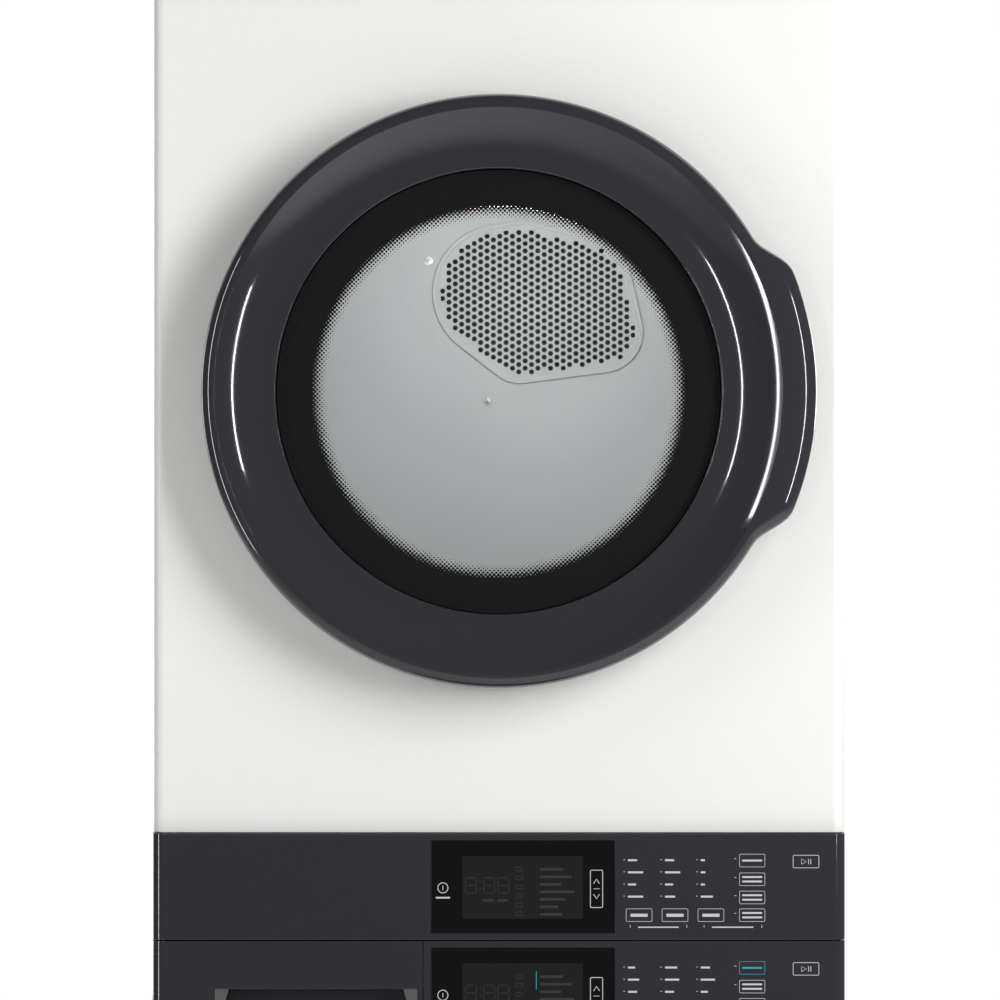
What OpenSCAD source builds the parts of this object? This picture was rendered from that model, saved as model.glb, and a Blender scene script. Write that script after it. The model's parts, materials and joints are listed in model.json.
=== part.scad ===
// Full-width laundry tower: a vented dryer built over a front-loading washer, sharing one
// control band. +Z is up, the doors face -Y, and the origin is on the floor under the
// middle of the whole box.

/* [Cabinet] */
// Width over the side panels
body_w = 686; // [680:1:900]
// Depth from the front panel's face to the rear panel's face
cab_d = 710; // [700:1:900]
// Height of the levelling feet under the base frame
foot_h = 25; // [18:1:40]
// Height from the floor to the top of the washer's front panel
washer_top = 807; // [800:1:980]
// Height of one half of the control band
band_half_h = 106; // [96:1:130]
// Height from the control band to the top of the stack
dryer_h = 873; // [860:1:1050]
// Height of the top panel
top_t = 12; // [8:1:20]
// Height of the toe panel
toe_h = 84; // [60:1:100]
// Thickness of the painted sheet steel
sheet = 2; // [1.2:0.1:3]
// Radius of the cabinet's upright front corners
corner_r = 12; // [6:1:18]

/* [Control band] */
// How far the control band stands in front of the front panels
band_out = 12; // [10:1:18]
// Thickness of the moulded parts
moulding = 3; // [2:0.5:4]
// Width of a display glass
glass_w = 182; // [140:1:190]
// Height of a display glass
glass_h = 92; // [70:1:92]
// Left edge of the display glasses, from the middle of the band
glass_left = -67; // [-70:1:-60]
// Width of the detergent drawer's front
drawer_w = 268; // [240:1:268]
// Travel of the detergent drawer
drawer_travel = 220; // [150:5:240]
// Height of the drawer's grip pocket
pocket_h = 44; // [30:1:52]

/* [Doors] */
// Outer radius of a door
door_r = 292; // [270:1:310]
// Thickness of a door's outer ring
door_t = 55; // [48:1:70]
// Gap between a closed door and the front panel
door_gap = 5; // [4:0.5:8]
// Radius of the door glass
glass_r = 218; // [200:1:225]
// How far the grip stands out of the door's circle
grip_out = 22.5; // [10:0.5:24]
// Radius of the dryer's mouth
dryer_mouth_r = 216; // [190:1:222]
// Radius of the washer's mouth
washer_mouth_r = 205; // [200:1:215]
// Height of the dryer door's centre over the control band
dryer_door_up = 436; // [420:1:520]
// Height of the washer door's centre over the floor
washer_door_z = 452; // [440:1:540]
// Radius of the hinge pins
hinge_pin_r = 3; // [2.5:0.5:4]

/* [Dryer inside] */
// Gap between the dryer drum and a side panel
drum_side_gap = 33; // [30:1:60]
// Radius of the drum rollers
roller_r = 35; // [28:1:40]
// Radius of the roller shafts
roller_shaft_r = 8; // [6:0.5:10]
// Radius of the exhaust collar
collar_r = 50.8; // [45:0.1:55]
// Radius of the blower wheel
blower_r = 75; // [60:1:78]
// How far the lint filter reaches below the dryer drum
filter_below = 47; // [30:1:60]

/* [Washer inside] */
// Gap between the tub and a side panel
tub_side_gap = 63; // [58:1:90]
// Gap between the wash drum and the tub
drum_gap = 22; // [16:1:26]
// Radius of the wash drum's shaft
wash_shaft_r = 17.5; // [15:0.5:20]
// Radius of the wash drum's pulley
wash_pulley_r = 130; // [110:1:140]
// Radius of the motor pulleys
motor_pulley_r = 20; // [16:1:24]

/* [Hidden] */
$fn = 96;
run_gap = 0.05;        // radial clearance of a running fit
fit_gap = 0.02;        // radial clearance of a pin pressed in its ears
seat_gap = 0.3;        // clearance of a part that sits beside a moving one
sheet_gap = 0.5;       // seam between neighbouring panels
stub = 30;             // reach of the hose and duct ends behind the cabinet
eps = 1;               // how far a cut runs past a face

half_w = body_w / 2;
overall_d = door_t + door_gap + cab_d + stub;
door_y = -overall_d / 2;
front_y = door_y + door_t + door_gap;
back_y = front_y + cab_d;
stub_y = back_y + stub;
door_back_y = door_y + door_t;
band_z = washer_top + band_half_h;
dryer_z = band_z + band_half_h;
stack_h = dryer_z + dryer_h;
top_z = stack_h - top_t;
dryer_c = dryer_z + dryer_door_up;
return_d = 30;         // side return of the front panels and the band
flange_w = 10.5;       // inward flange of a side panel

catch_x = door_r - 57;   // middle of the catches and their strikes
hinge_x = -(door_r - 8);
hinge_y = door_back_y - 21;
plug_gap = 11;         // play of a door's plug in the mouth
dryer_window_r = glass_r - 34;
bowl_seat_r = glass_r - 44;
ear_z = 22;            // inner face of a hinge ear
ear_t = 8;

drum_r = half_w - drum_side_gap;
drum_wall = 1.5;
drum_y0 = front_y + 34;
drum_y1 = back_y - 70;
bulk_f = front_y + 24; // rear face of the dryer's front bulkhead
bulk_b = drum_y1 + 5;  // front face of the dryer's rear bulkhead
rim_w = 20;

axis_drop = 45;        // angle of the rollers from straight down
roller_c = drum_r + roller_r + seat_gap;
roller_x = roller_c * sin(axis_drop);
roller_z = dryer_c - roller_c * cos(axis_drop);
roller_w = 22;
roller_y0 = drum_y1 - rim_w - roller_w;

grille_x = 44;
grille_up = 122;
// the circles that the grille's outline runs round: x, z and radius, from its middle
grille_lobes = [[-42, 10, 76], [-20, 28, 62], [48, 16, 58], [72, -34, 46], [-20, -50, 42]];
grille_seat = 9;       // overlap of the grille on the rear bulkhead
screw_places = [[-78, 167], [-12, 10]];

pan_t = 3;
pan_z = band_z + pan_t + 1;
motor_x = -150;
motor_z = pan_z + blower_r + 18;
motor_r = 62;
motor_y0 = 0;
motor_l = 95;
motor_shaft_r = 6;
belt_w = 10;
belt_t = 2;
belt_gap = 0.8;
belt_y = motor_y0 + motor_l + 12;
idler_r = 25;
idler_x = motor_x + 110;
idler_z = motor_z - 12;
idler_shaft_r = 6;

tub_r = half_w - tub_side_gap;
tub_wall = 5;
tub_y0 = front_y + 78;
tub_y1 = back_y - 160;
wash_r = tub_r - drum_gap;
wash_y0 = tub_y0 + 15;
wash_y1 = tub_y1 - 30;
wash_pulley_y = tub_y1 + 45;
wash_motor_r = 50;
wash_motor_z = washer_door_z - tub_r - wash_motor_r - 6;
hub_r = 45;
base_z = foot_h;
base_h = 24;

pocket_x0 = -half_w + 62;
pocket_x1 = -half_w + drawer_w - 2;
pocket_top = band_z - 48;
tray_y1 = front_y + 40 + drawer_travel;
tray_x0 = -half_w + 14;
tray_x1 = -half_w + drawer_w - 10;
tray_z0 = washer_top + 24;
tray_z1 = band_z - 14;

filter_w = 120;
filter_t = 10;
filter_y = front_y + 8;
filter_top = dryer_c - dryer_mouth_r + 9;
filter_h = filter_top - dryer_c + drum_r + filter_below;

collar_x = 120;
collar_z = pan_z + collar_r + 14;
valve_x = [-half_w + 93, -half_w + 153];
valve_z = band_z - 70;
drain_x = half_w - 93;
drain_z = 200;
spigot_r = 11;
inlet_r = 13.2;
cord_hole_r = 11;
cord_x = half_w - 90;
cord_z = band_z + 110;

// the circles that each belt runs round: x, z, radius and facets
dryer_loop = [[0, dryer_c, drum_r, 160], [motor_x, motor_z, motor_pulley_r, 48],
              [idler_x, idler_z, idler_r, 48]];
wash_loop = [[0, washer_door_z, wash_pulley_r, 96], [0, wash_motor_z, motor_pulley_r, 48]];

// ---- shared shapes ----

module block(x0, x1, y0, y1, z0, z1) {
  translate([x0, y0, z0]) cube([x1 - x0, y1 - y0, z1 - z0]);
}

module rod(y0, y1, r) {
  translate([0, y0, 0]) rotate([-90, 0, 0]) cylinder(h = y1 - y0, r = r);
}

module tube(y0, y1, ro, ri) {
  difference() {
    rod(y0, y1, ro);
    rod(y0 - eps, y1 + eps, ri);
  }
}

// turns an outline of [radius, y] points about the Y axis
module turned(points) {
  rotate([-90, 0, 0]) rotate_extrude() polygon(points);
}

// raises an outline drawn in X and Z along Y
module panel_y(y0, y1) {
  translate([0, y1, 0]) rotate([90, 0, 0]) linear_extrude(y1 - y0) children();
}

module at(x, z) {
  translate([x, 0, z]) children();
}

// a U in plan: the front skin with rounded corners and a return down each side
module wrap(z0, z1, face_y, back, wall, r) {
  translate([0, 0, z0]) linear_extrude(z1 - z0) difference() {
    wrap_outline(face_y, back, half_w, r);
    wrap_outline(face_y + wall, back + eps, half_w - wall, r - wall);
  }
}

module wrap_outline(face_y, back, hw, r) {
  intersection() {
    union() {
      translate([-hw + r, face_y + r]) circle(r);
      translate([hw - r, face_y + r]) circle(r);
      translate([-hw + r, face_y]) square([2 * (hw - r), back - face_y]);
      translate([-hw, face_y + r]) square([2 * hw, back - face_y - r]);
    }
    translate([-hw, face_y]) square([2 * hw, back - face_y]);
  }
}

// ---- cabinet ----

module base_frame() {
  rail = 60;
  color("silver") difference() {
    union() {
      difference() {
        block(-half_w + sheet + seat_gap, half_w - sheet - seat_gap,
              front_y + return_d + sheet_gap + sheet + seat_gap,
              back_y - 2 * sheet - sheet_gap, base_z, base_z + base_h);
        block(-half_w + rail, half_w - rail, front_y + rail + 40, back_y - rail,
              base_z - eps, base_z + base_h + eps);
      }
      block(-half_w + rail - 1, half_w - rail + 1, -30, 30, base_z, base_z + 6);
    }
    feet_places() cylinder(h = 60, r = 5 + fit_gap);
  }
}

module feet_places() {
  for (sx = [-1, 1], y = [front_y + 60, back_y - 40])
    translate([sx * (half_w - 40), y, base_z - eps]) children();
}

module levelling_feet() {
  color("dimgray") feet_places() translate([0, 0, eps - base_z]) {
    cylinder(h = 8, r = 20);
    translate([0, 0, 8]) cylinder(h = base_z - 8 - 0.3, r = 9, $fn = 6);
    translate([0, 0, base_z - 1]) cylinder(h = base_h - 4, r = 5);
  }
}

module mirrored_sides(z0, z1) {
  mirror_copy() union() {
    block(half_w - sheet, half_w, front_y + return_d + sheet_gap, back_y, z0, z1);
    block(half_w - flange_w, half_w - sheet + 0.5, front_y + return_d + sheet_gap,
          front_y + return_d + sheet_gap + sheet, z0, z1);
    block(half_w - flange_w, half_w - sheet + 0.5, back_y - 2 * sheet - 0.2,
          back_y - sheet - 0.2, z0, z1);
  }
}

module mirror_copy() {
  children();
  mirror([1, 0, 0]) children();
}

module washer_sides() {
  color("white") mirrored_sides(base_z + 2, band_z - sheet_gap);
}

module dryer_sides() {
  color("white") mirrored_sides(band_z, top_z);
}

module top_panel() {
  color("white") difference() {
    translate([0, 0, top_z]) linear_extrude(top_t)
      wrap_outline(front_y, back_y, half_w, corner_r);
    translate([0, 0, top_z - eps]) linear_extrude(top_t - 3 + eps)
      wrap_outline(front_y + 3, back_y - 3, half_w - 3, corner_r - 3);
  }
}

module rear_panels() {
  color("gainsboro") {
    difference() {
      block(-half_w + sheet, half_w - sheet, back_y - sheet, back_y, base_z + 2, band_z - 1);
      for (x = valve_x) at(x, valve_z) rod(back_y - 9, back_y + 9, inlet_r + 2);
      at(drain_x, drain_z) rod(back_y - 9, back_y + 9, spigot_r + 1);
    }
    difference() {
      block(-half_w + sheet, half_w - sheet, back_y - sheet, back_y, band_z, top_z);
      at(collar_x, collar_z) rod(back_y - 9, back_y + 9, collar_r + 1);
      at(cord_x, cord_z) rod(back_y - 9, back_y + 9, cord_hole_r);
      for (i = [0 : 7], j = [-1, 1])
        block(j * 150 - 45, j * 150 + 45, back_y - 9, back_y + 9,
              dryer_c + 16 * i, dryer_c + 16 * i + 5);
    }
  }
}

module front_panel(z0, z1, cz, mouth) {
  color("white") difference() {
    wrap(z0, z1, front_y, front_y + return_d, sheet, corner_r);
    at(0, cz) rod(front_y - eps, front_y + sheet + eps, mouth);
    at(0, cz) block(catch_x - 7, catch_x + 7, front_y - eps, front_y + sheet + eps, -20, 20);
  }
}

module washer_front_panel() {
  front_panel(base_z + toe_h + sheet_gap, washer_top - sheet_gap, washer_door_z,
              washer_mouth_r);
}

module dryer_front_panel() {
  front_panel(dryer_z, top_z, dryer_c, dryer_mouth_r);
}

module toe_panel() {
  color("white") difference() {
    wrap(base_z, base_z + toe_h, front_y + 1, front_y + return_d, sheet, corner_r);
    for (i = [0 : 5])
      block(150, 250, front_y - 2, front_y + 6, base_z + 20 + 8 * i, base_z + 24 + 8 * i);
  }
}

module dryer_pan() {
  y0 = front_y + return_d + sheet_gap + sheet + seat_gap;
  y1 = back_y - 2 * sheet - sheet_gap;
  color("silver") union() {
    block(-half_w + 20, half_w - 20, y0, y1, band_z + 1, band_z + 1 + pan_t);
    block(-half_w + sheet + seat_gap, -half_w + 21, y0, y1, band_z + 1, band_z + 16);
    block(half_w - 21, half_w - sheet - seat_gap, y0, y1, band_z + 1, band_z + 16);
  }
}

// ---- control band and drawer ----

module band_skin(z0, z1) {
  wrap(z0, z1, front_y - band_out, front_y + return_d, moulding, corner_r);
}

module glass_seat(z_mid) {
  block(glass_left, glass_left + glass_w, front_y - band_out - eps,
        front_y - band_out + 1.6, z_mid - glass_h / 2, z_mid + glass_h / 2);
}

module band_bosses(z_mid) {
  for (x = [glass_left + 20, glass_left + glass_w + 150], dz = [-30, 30])
    translate([x, 0, z_mid + dz])
      rod(front_y - band_out + moulding - 0.5, front_y - band_out + moulding + 2, 4);
}

module dryer_fascia() {
  mid = band_z + band_half_h / 2;
  color("#35343a") difference() {
    union() {
      band_skin(band_z + 0.6, dryer_z - sheet_gap);
      band_bosses(mid);
    }
    glass_seat(mid);
  }
}

module washer_fascia() {
  mid = washer_top + band_half_h / 2;
  color("#35343a") difference() {
    union() {
      intersection() {
        band_skin(washer_top, band_z - 0.6);
        block(-half_w + drawer_w + 0.8, half_w + 1, front_y - 60, front_y + 60,
              washer_top - 1, band_z + 1);
      }
      band_bosses(mid);
    }
    glass_seat(mid);
  }
}

module display_glasses() {
  color("black") for (mid = [band_z + band_half_h / 2, washer_top + band_half_h / 2])
    block(glass_left + 0.4, glass_left + glass_w - 0.4, front_y - band_out - 0.3,
          front_y - band_out + 1.6, mid - glass_h / 2 + 0.4, mid + glass_h / 2 - 0.4);
}

module control_boards() {
  y0 = front_y - band_out + moulding + 2;
  color("darkgreen") for (mid = [band_z + band_half_h / 2, washer_top + band_half_h / 2])
    union() {
      block(glass_left + 4, half_w - 30, y0, y0 + 1.6, mid - 42, mid + 42);
      block(glass_left + 30, glass_left + 70, y0 + 1, y0 + 5, mid - 20, mid + 20);
      block(glass_left + 150, glass_left + 170, y0 + 1, y0 + 4, mid - 10, mid + 10);
    }
}

module drawer_front() {
  color("#35343a") difference() {
    union() {
      intersection() {
        band_skin(washer_top, band_z - 0.6);
        block(-half_w - 1, -half_w + drawer_w, front_y - 60, front_y + 60,
              washer_top - 1, band_z + 1);
      }
      block(pocket_x0 - 3, pocket_x1, front_y - band_out + 1, front_y + 24,
            pocket_top - pocket_h - 3, pocket_top + 3);
    }
    block(pocket_x0, pocket_x1 - 3, front_y - band_out - eps, front_y + 21,
          pocket_top - pocket_h, pocket_top);
  }
}

module drawer_trim() {
  color("silver") for (x = [pocket_x0 + 0.3, pocket_x1 - 3 - 14.3])
    block(x, x + 14, front_y - band_out + 1, front_y - band_out + 4,
          pocket_top - pocket_h + 0.3, pocket_top - 0.3);
}

module drawer_tray() {
  wall = 2;
  y0 = front_y + 24.3;
  color("lightgray") difference() {
    block(tray_x0, tray_x1, y0, tray_y1, tray_z0, tray_z1);
    block(tray_x0 + wall, tray_x0 + 70, y0 + wall, tray_y1 - wall, tray_z0 + wall,
          tray_z1 + eps);
    block(tray_x0 + 70 + wall, tray_x1 - 80, y0 + wall, tray_y1 - wall, tray_z0 + wall,
          tray_z1 + eps);
    block(tray_x1 - 80 + wall, tray_x1 - wall, y0 + wall, tray_y1 - wall, tray_z0 + wall,
          tray_z1 + eps);
  }
}

module dispenser_housing() {
  gap = 0.5;
  wall = 2.5;
  color("gray") difference() {
    block(tray_x0 - gap - wall, tray_x1 + gap + wall, front_y + sheet + 1, tray_y1 + 20,
          tray_z0 - gap - wall, tray_z1 + gap + wall);
    block(tray_x0 - gap, tray_x1 + gap, front_y - eps, tray_y1 + 20 - wall,
          tray_z0 - gap, tray_z1 + gap);
    block(pocket_x0 - 8, pocket_x1 + 5, front_y - eps, front_y + 30,
          tray_z0 - 20, tray_z1 + gap);
  }
}

// ---- doors ----

// how far the grip's swell stands out at an angle from the grip's middle
function swell(a) =
  let (t = min(max((31 - abs(a)) / 9, 0), 1)) grip_out * t * t * (3 - 2 * t);

module grip_outline() {
  inner = door_r - 22;
  polygon(concat(
    [for (a = [-32 : 2 : 32]) (door_r - 2 + swell(a)) * [cos(a), sin(a)]],
    [for (a = [32 : -4 : -32]) inner * [cos(a), sin(a)]]));
}

module door_ring(cz) {
  b = door_back_y;
  f = door_y;
  color("#35343a") at(0, cz) difference() {
    union() {
      turned([[glass_r + 1, b], [door_r, b], [door_r, f + 13], [door_r - 3, f + 5],
              [door_r - 9, f], [door_r - 14, f], [door_r - 40, f + 13],
              [glass_r + 8, f + 20], [glass_r + 1, f + 21]]);
      panel_y(f + 6, b - 12) grip_outline();
    }
    turned([[glass_r - 1, b + eps], [door_r - 4, b + eps], [door_r - 4, f + 16],
            [door_r - 12, f + 6], [door_r - 40, f + 18], [glass_r + 6, f + 26],
            [glass_r + 6, b - 2.6], [glass_r - 1, b - 2.6]]);
    block(-door_r - eps, hinge_x + 40, hinge_y - 11, b + eps, -ear_z - ear_t - 4,
          ear_z + ear_t + 4);
  }
}

module dryer_door_ring() {
  door_ring(dryer_c);
}

module washer_door_ring() {
  door_ring(washer_door_z);
}

module outer_glass() {
  f = door_y + 28;
  turned([[0, f - 4], [glass_r - 30, f - 1.5], [glass_r + 0.7, f + 1], [glass_r + 0.7, f + 5.8],
          [glass_r - 30, f + 3], [0, f + 0.5]]);
}

module dryer_door_glass() {
  color("black") at(0, dryer_c) outer_glass();
}

// the door's inner frame closes the ring from behind and carries the inner window
module inner_frame(plug_r, plug_y, bore) {
  difference() {
    turned([[bore, door_y + 34.1], [glass_r + 0.7, door_y + 34.1],
            [glass_r + 0.7, door_back_y - 2.3], [door_r - 4.3, door_back_y - 2.3],
            [door_r - 4.3, door_back_y], [plug_r, door_back_y], [plug_r, plug_y],
            [bore, plug_y]]);
    block(-door_r - eps, hinge_x + 40, hinge_y - 11, door_back_y + eps, -ear_z - ear_t - 4,
          ear_z + ear_t + 4);
  }
}

module dryer_door_inner() {
  color("lightgray") at(0, dryer_c) inner_frame(dryer_mouth_r - plug_gap, front_y + 4, dryer_window_r);
}

module washer_door_inner() {
  color("lightgray") at(0, washer_door_z)
    inner_frame(washer_mouth_r - plug_gap, front_y + 4, bowl_seat_r);
}

// outer pane and, behind it, the bowl that reaches into the gasket
module washer_door_glass() {
  bowl_r = bowl_seat_r - seat_gap;
  lip = door_back_y - 10;
  color("black") at(0, washer_door_z) {
    outer_glass();
    turned([[0, front_y + 84], [110, front_y + 78], [bowl_r - 30, front_y + 62],
            [bowl_r - 12, front_y + 30], [bowl_r, lip + 6], [bowl_r, lip],
            [bowl_r - 8, lip], [bowl_r - 18, front_y + 26], [bowl_r - 36, front_y + 56],
            [108, front_y + 73], [0, front_y + 79]]);
  }
}

// the door's hinge leaf with its knuckle, and the strike on the grip side
module door_hardware(cz) {
  color("silver") at(0, cz) {
    difference() {
      union() {
        block(hinge_x - 5, hinge_x + 34, hinge_y - 6, hinge_y + 6, -ear_z + 2, ear_z - 2);
        block(hinge_x + 30, hinge_x + 39.7, hinge_y - 8, door_back_y - 2.6, -ear_z - 6,
              ear_z + 6);
        block(hinge_x + 39, -(glass_r + 9), door_back_y - 6.6, door_back_y - 2.6, -ear_z - 6,
              ear_z + 6);
      }
      translate([hinge_x, hinge_y, -50]) cylinder(h = 100, r = hinge_pin_r + run_gap);
    }
    union() {
      block(catch_x - 3, catch_x + 3, door_back_y, front_y + 14, -7, 7);
      block(catch_x - 3, catch_x + 5, front_y + 10, front_y + 14, -7, 7);
      block(catch_x - 6, catch_x + 6, door_back_y, door_back_y + 2, -16, 16);
    }
  }
}

module dryer_door_hardware() {
  door_hardware(dryer_c);
}

module washer_door_hardware() {
  door_hardware(washer_door_z);
}

module hinge_bracket() {
  difference() {
    union() {
      for (z = [-ear_z - ear_t, ear_z])
        block(hinge_x - 4, hinge_x + 10, hinge_y - 6, front_y, z, z + ear_t);
      block(hinge_x - 4, hinge_x + 46, front_y - 4, front_y, -ear_z - 20, ear_z + 20);
    }
    translate([hinge_x, hinge_y, -50]) cylinder(h = 100, r = hinge_pin_r + fit_gap);
  }
  translate([hinge_x, hinge_y, -ear_z - ear_t - 1])
    cylinder(h = 2 * (ear_z + ear_t + 1), r = hinge_pin_r);
}

module hinge_brackets() {
  color("silver") for (cz = [dryer_c, washer_door_z]) at(0, cz) hinge_bracket();
}

module door_catches() {
  color("dimgray") for (cz = [dryer_c, washer_door_z]) at(0, cz) difference() {
    block(catch_x - 12, catch_x + 16, front_y + sheet, front_y + 21, -28, 28);
    block(catch_x - 8, catch_x + 10, front_y - eps, front_y + 18, -11, 11);
  }
}

module dryer_door_seal() {
  color("gray") at(0, dryer_c)
    tube(door_back_y + 0.3, front_y - 0.3, dryer_mouth_r + 12, dryer_mouth_r + 2);
}

// ---- dryer inside ----

module dryer_drum() {
  color("gainsboro") at(0, dryer_c) tube(drum_y0, drum_y1, drum_r, drum_r - drum_wall);
}

module dryer_baffles() {
  base_r = drum_r - drum_wall - 2.4;
  color("lightgray") at(0, dryer_c) for (a = [90, 210, 330]) rotate([0, a, 0])
    intersection() {
      panel_y(drum_y0 + 60, drum_y1 - 60)
        polygon([[base_r - 62, -9], [base_r - 66, 0], [base_r - 62, 9], [base_r + 3, 38],
                 [base_r + 3, -38]]);
      rod(drum_y0, drum_y1, base_r + 2.2);
    }
}

// keyhole outline of the front bulkhead: fills the front of the dryer section
module front_bulkhead() {
  color("silver") difference() {
    union() {
      block(-half_w + flange_w + seat_gap, half_w - flange_w - seat_gap, bulk_f - sheet, bulk_f,
            dryer_c - drum_r - 18, dryer_c + drum_r + 18);
      at(0, dryer_c) rod(front_y + sheet, bulk_f, dryer_mouth_r + 3);
      at(0, dryer_c) rod(bulk_f - 1, drum_y0 + rim_w, drum_r - drum_wall - 0.6);
      block(-filter_w / 2 - 5, filter_w / 2 + 5, filter_y - 3, bulk_f,
            filter_top - filter_h - 12, filter_top - 4);
    }
    at(0, dryer_c) rod(front_y - eps, bulk_f + eps, dryer_mouth_r);
    at(0, dryer_c) rod(bulk_f, drum_y0 + rim_w + eps, drum_r - drum_wall - 4);
    block(-filter_w / 2 - 0.5, filter_w / 2 + 0.5, filter_y - 0.5, filter_y + filter_t + 0.5,
          filter_top - filter_h - 0.5, filter_top + 30);
    block(-filter_w / 2 + 8, filter_w / 2 - 8, filter_y, bulk_f + eps,
          filter_top - filter_h + 8, dryer_c - drum_r - 18);
  }
}

// a rounded, leaning patch, wider at its upper left; inset draws it smaller all round
module grille_outline(inset = 0) {
  hull() for (lobe = grille_lobes)
    translate([lobe[0], lobe[1]]) circle(lobe[2] - inset, $fn = 48);
}

module rear_bulkhead() {
  color("lightgray") difference() {
    union() {
      block(-half_w + flange_w + seat_gap, half_w - flange_w - seat_gap, bulk_b, bulk_b + sheet,
            dryer_c - drum_r - 10, dryer_c + drum_r + 18);
      block(-half_w + flange_w + seat_gap, half_w - flange_w - seat_gap, bulk_b, bulk_b + sheet,
            roller_z - 30, dryer_c - drum_r);
      at(0, dryer_c) rod(drum_y1 - rim_w, bulk_b + 0.5, drum_r - drum_wall - 0.6);
      for (s = [-1, 1]) at(s * roller_x, roller_z)
        rod(bulk_b - 8, bulk_b + 0.5, roller_shaft_r + 8);
    }
    at(0, dryer_c) rod(drum_y1 - rim_w - eps, bulk_b - sheet, drum_r - drum_wall - 4);
    at(grille_x, dryer_c + grille_up) panel_y(bulk_b - 9, bulk_b + 9)
      grille_outline(grille_seat);
    for (s = [-1, 1]) at(s * roller_x, roller_z)
      rod(bulk_b - 20, bulk_b + 9, roller_shaft_r + fit_gap);
  }
}

module air_grille() {
  pitch = 17;
  lean = 30;
  color("lightgray") at(grille_x, dryer_c + grille_up) difference() {
    panel_y(bulk_b - sheet - 3, bulk_b - sheet - 0.2) grille_outline();
    for (i = [-4 : 4], j = [-4 : 4]) if (i * i + j * j < 19) rotate([0, lean, 0])
      at(i * pitch * 0.9, j * pitch * 0.75) rod(bulk_b - 9, bulk_b + 9, 5);
  }
}

module grille_screws() {
  color("silver") for (p = screw_places) at(p[0], dryer_c + p[1])
    rod(bulk_b - sheet - 2.6, bulk_b - sheet, 5);
}

module lint_filter() {
  y0 = filter_y;
  y1 = filter_y + filter_t;
  color("lightgray") union() {
    difference() {
      block(-filter_w / 2, filter_w / 2, y0, y1, filter_top - filter_h, filter_top);
      block(-filter_w / 2 + 8, filter_w / 2 - 8, y0 + 2, y1 + eps,
            filter_top - filter_h + 8, filter_top - 24);
    }
    block(-28, 28, y0 + 2, y1 - 2, filter_top - 1, filter_top + 12);
  }
}

module drum_roller(s) {
  color("dimgray") at(s * roller_x, roller_z)
    tube(roller_y0, roller_y0 + roller_w, roller_r, roller_shaft_r + run_gap);
}

module drum_roller_left() {
  drum_roller(-1);
}

module drum_roller_right() {
  drum_roller(1);
}

module roller_shafts() {
  color("silver") {
    for (s = [-1, 1]) at(s * roller_x, roller_z) {
      rod(roller_y0 - 6, bulk_b + sheet + 4, roller_shaft_r);
    }
    union() {
      block(idler_x - 15, idler_x + 15, belt_y + 22, belt_y + 26, pan_z, idler_z + 12);
      at(idler_x, idler_z) rod(belt_y - 10, belt_y + 23, idler_shaft_r);
      block(idler_x - 15, idler_x + 15, belt_y + 22, belt_y + 60, pan_z, pan_z + 3);
    }
  }
}

module belt_loop(grow, list) {
  hull() for (c = list) translate([c[0], c[1]]) circle(c[2] + grow, $fn = c[3]);
}

module dryer_belt() {
  color("black") panel_y(belt_y, belt_y + belt_w) difference() {
    belt_loop(belt_gap + belt_t, dryer_loop);
    belt_loop(belt_gap, dryer_loop);
  }
}

module washer_belt() {
  color("black") panel_y(wash_pulley_y + 2, wash_pulley_y + 2 + belt_w) difference() {
    belt_loop(belt_gap + belt_t, wash_loop);
    belt_loop(belt_gap, wash_loop);
  }
}

module idler_pulley() {
  color("dimgray") at(idler_x, idler_z)
    tube(belt_y - 2, belt_y + belt_w + 2, idler_r, idler_shaft_r + run_gap);
}

module dryer_motor() {
  color("silver") union() {
    at(motor_x, motor_z) tube(motor_y0, motor_y0 + motor_l, motor_r, motor_shaft_r + run_gap);
    for (y = [motor_y0 + 12, motor_y0 + motor_l - 22])
      block(motor_x - 45, motor_x + 45, y, y + 10, pan_z, motor_z - motor_r + 14);
  }
}

module dryer_motor_shaft() {
  color("silver") at(motor_x, motor_z) union() {
    rod(motor_y0 - 60, belt_y + belt_w + 6, motor_shaft_r);
    rod(belt_y - 2, belt_y + belt_w + 2, motor_pulley_r);
  }
}

module blower_wheel() {
  y0 = motor_y0 - 75;
  color("dimgray") at(motor_x, motor_z) difference() {
    union() {
      rod(y0 + 46, y0 + 50, blower_r);
      rod(y0 + 30, y0 + 50, 14);
      for (a = [0 : 18 : 342]) rotate([0, a, 0])
        block(blower_r - 22, blower_r - 2, y0, y0 + 47, -1, 1);
      tube(y0, y0 + 3, blower_r, blower_r - 22);
    }
    rod(y0 - eps, y0 + 60, motor_shaft_r + fit_gap);
  }
}

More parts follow.
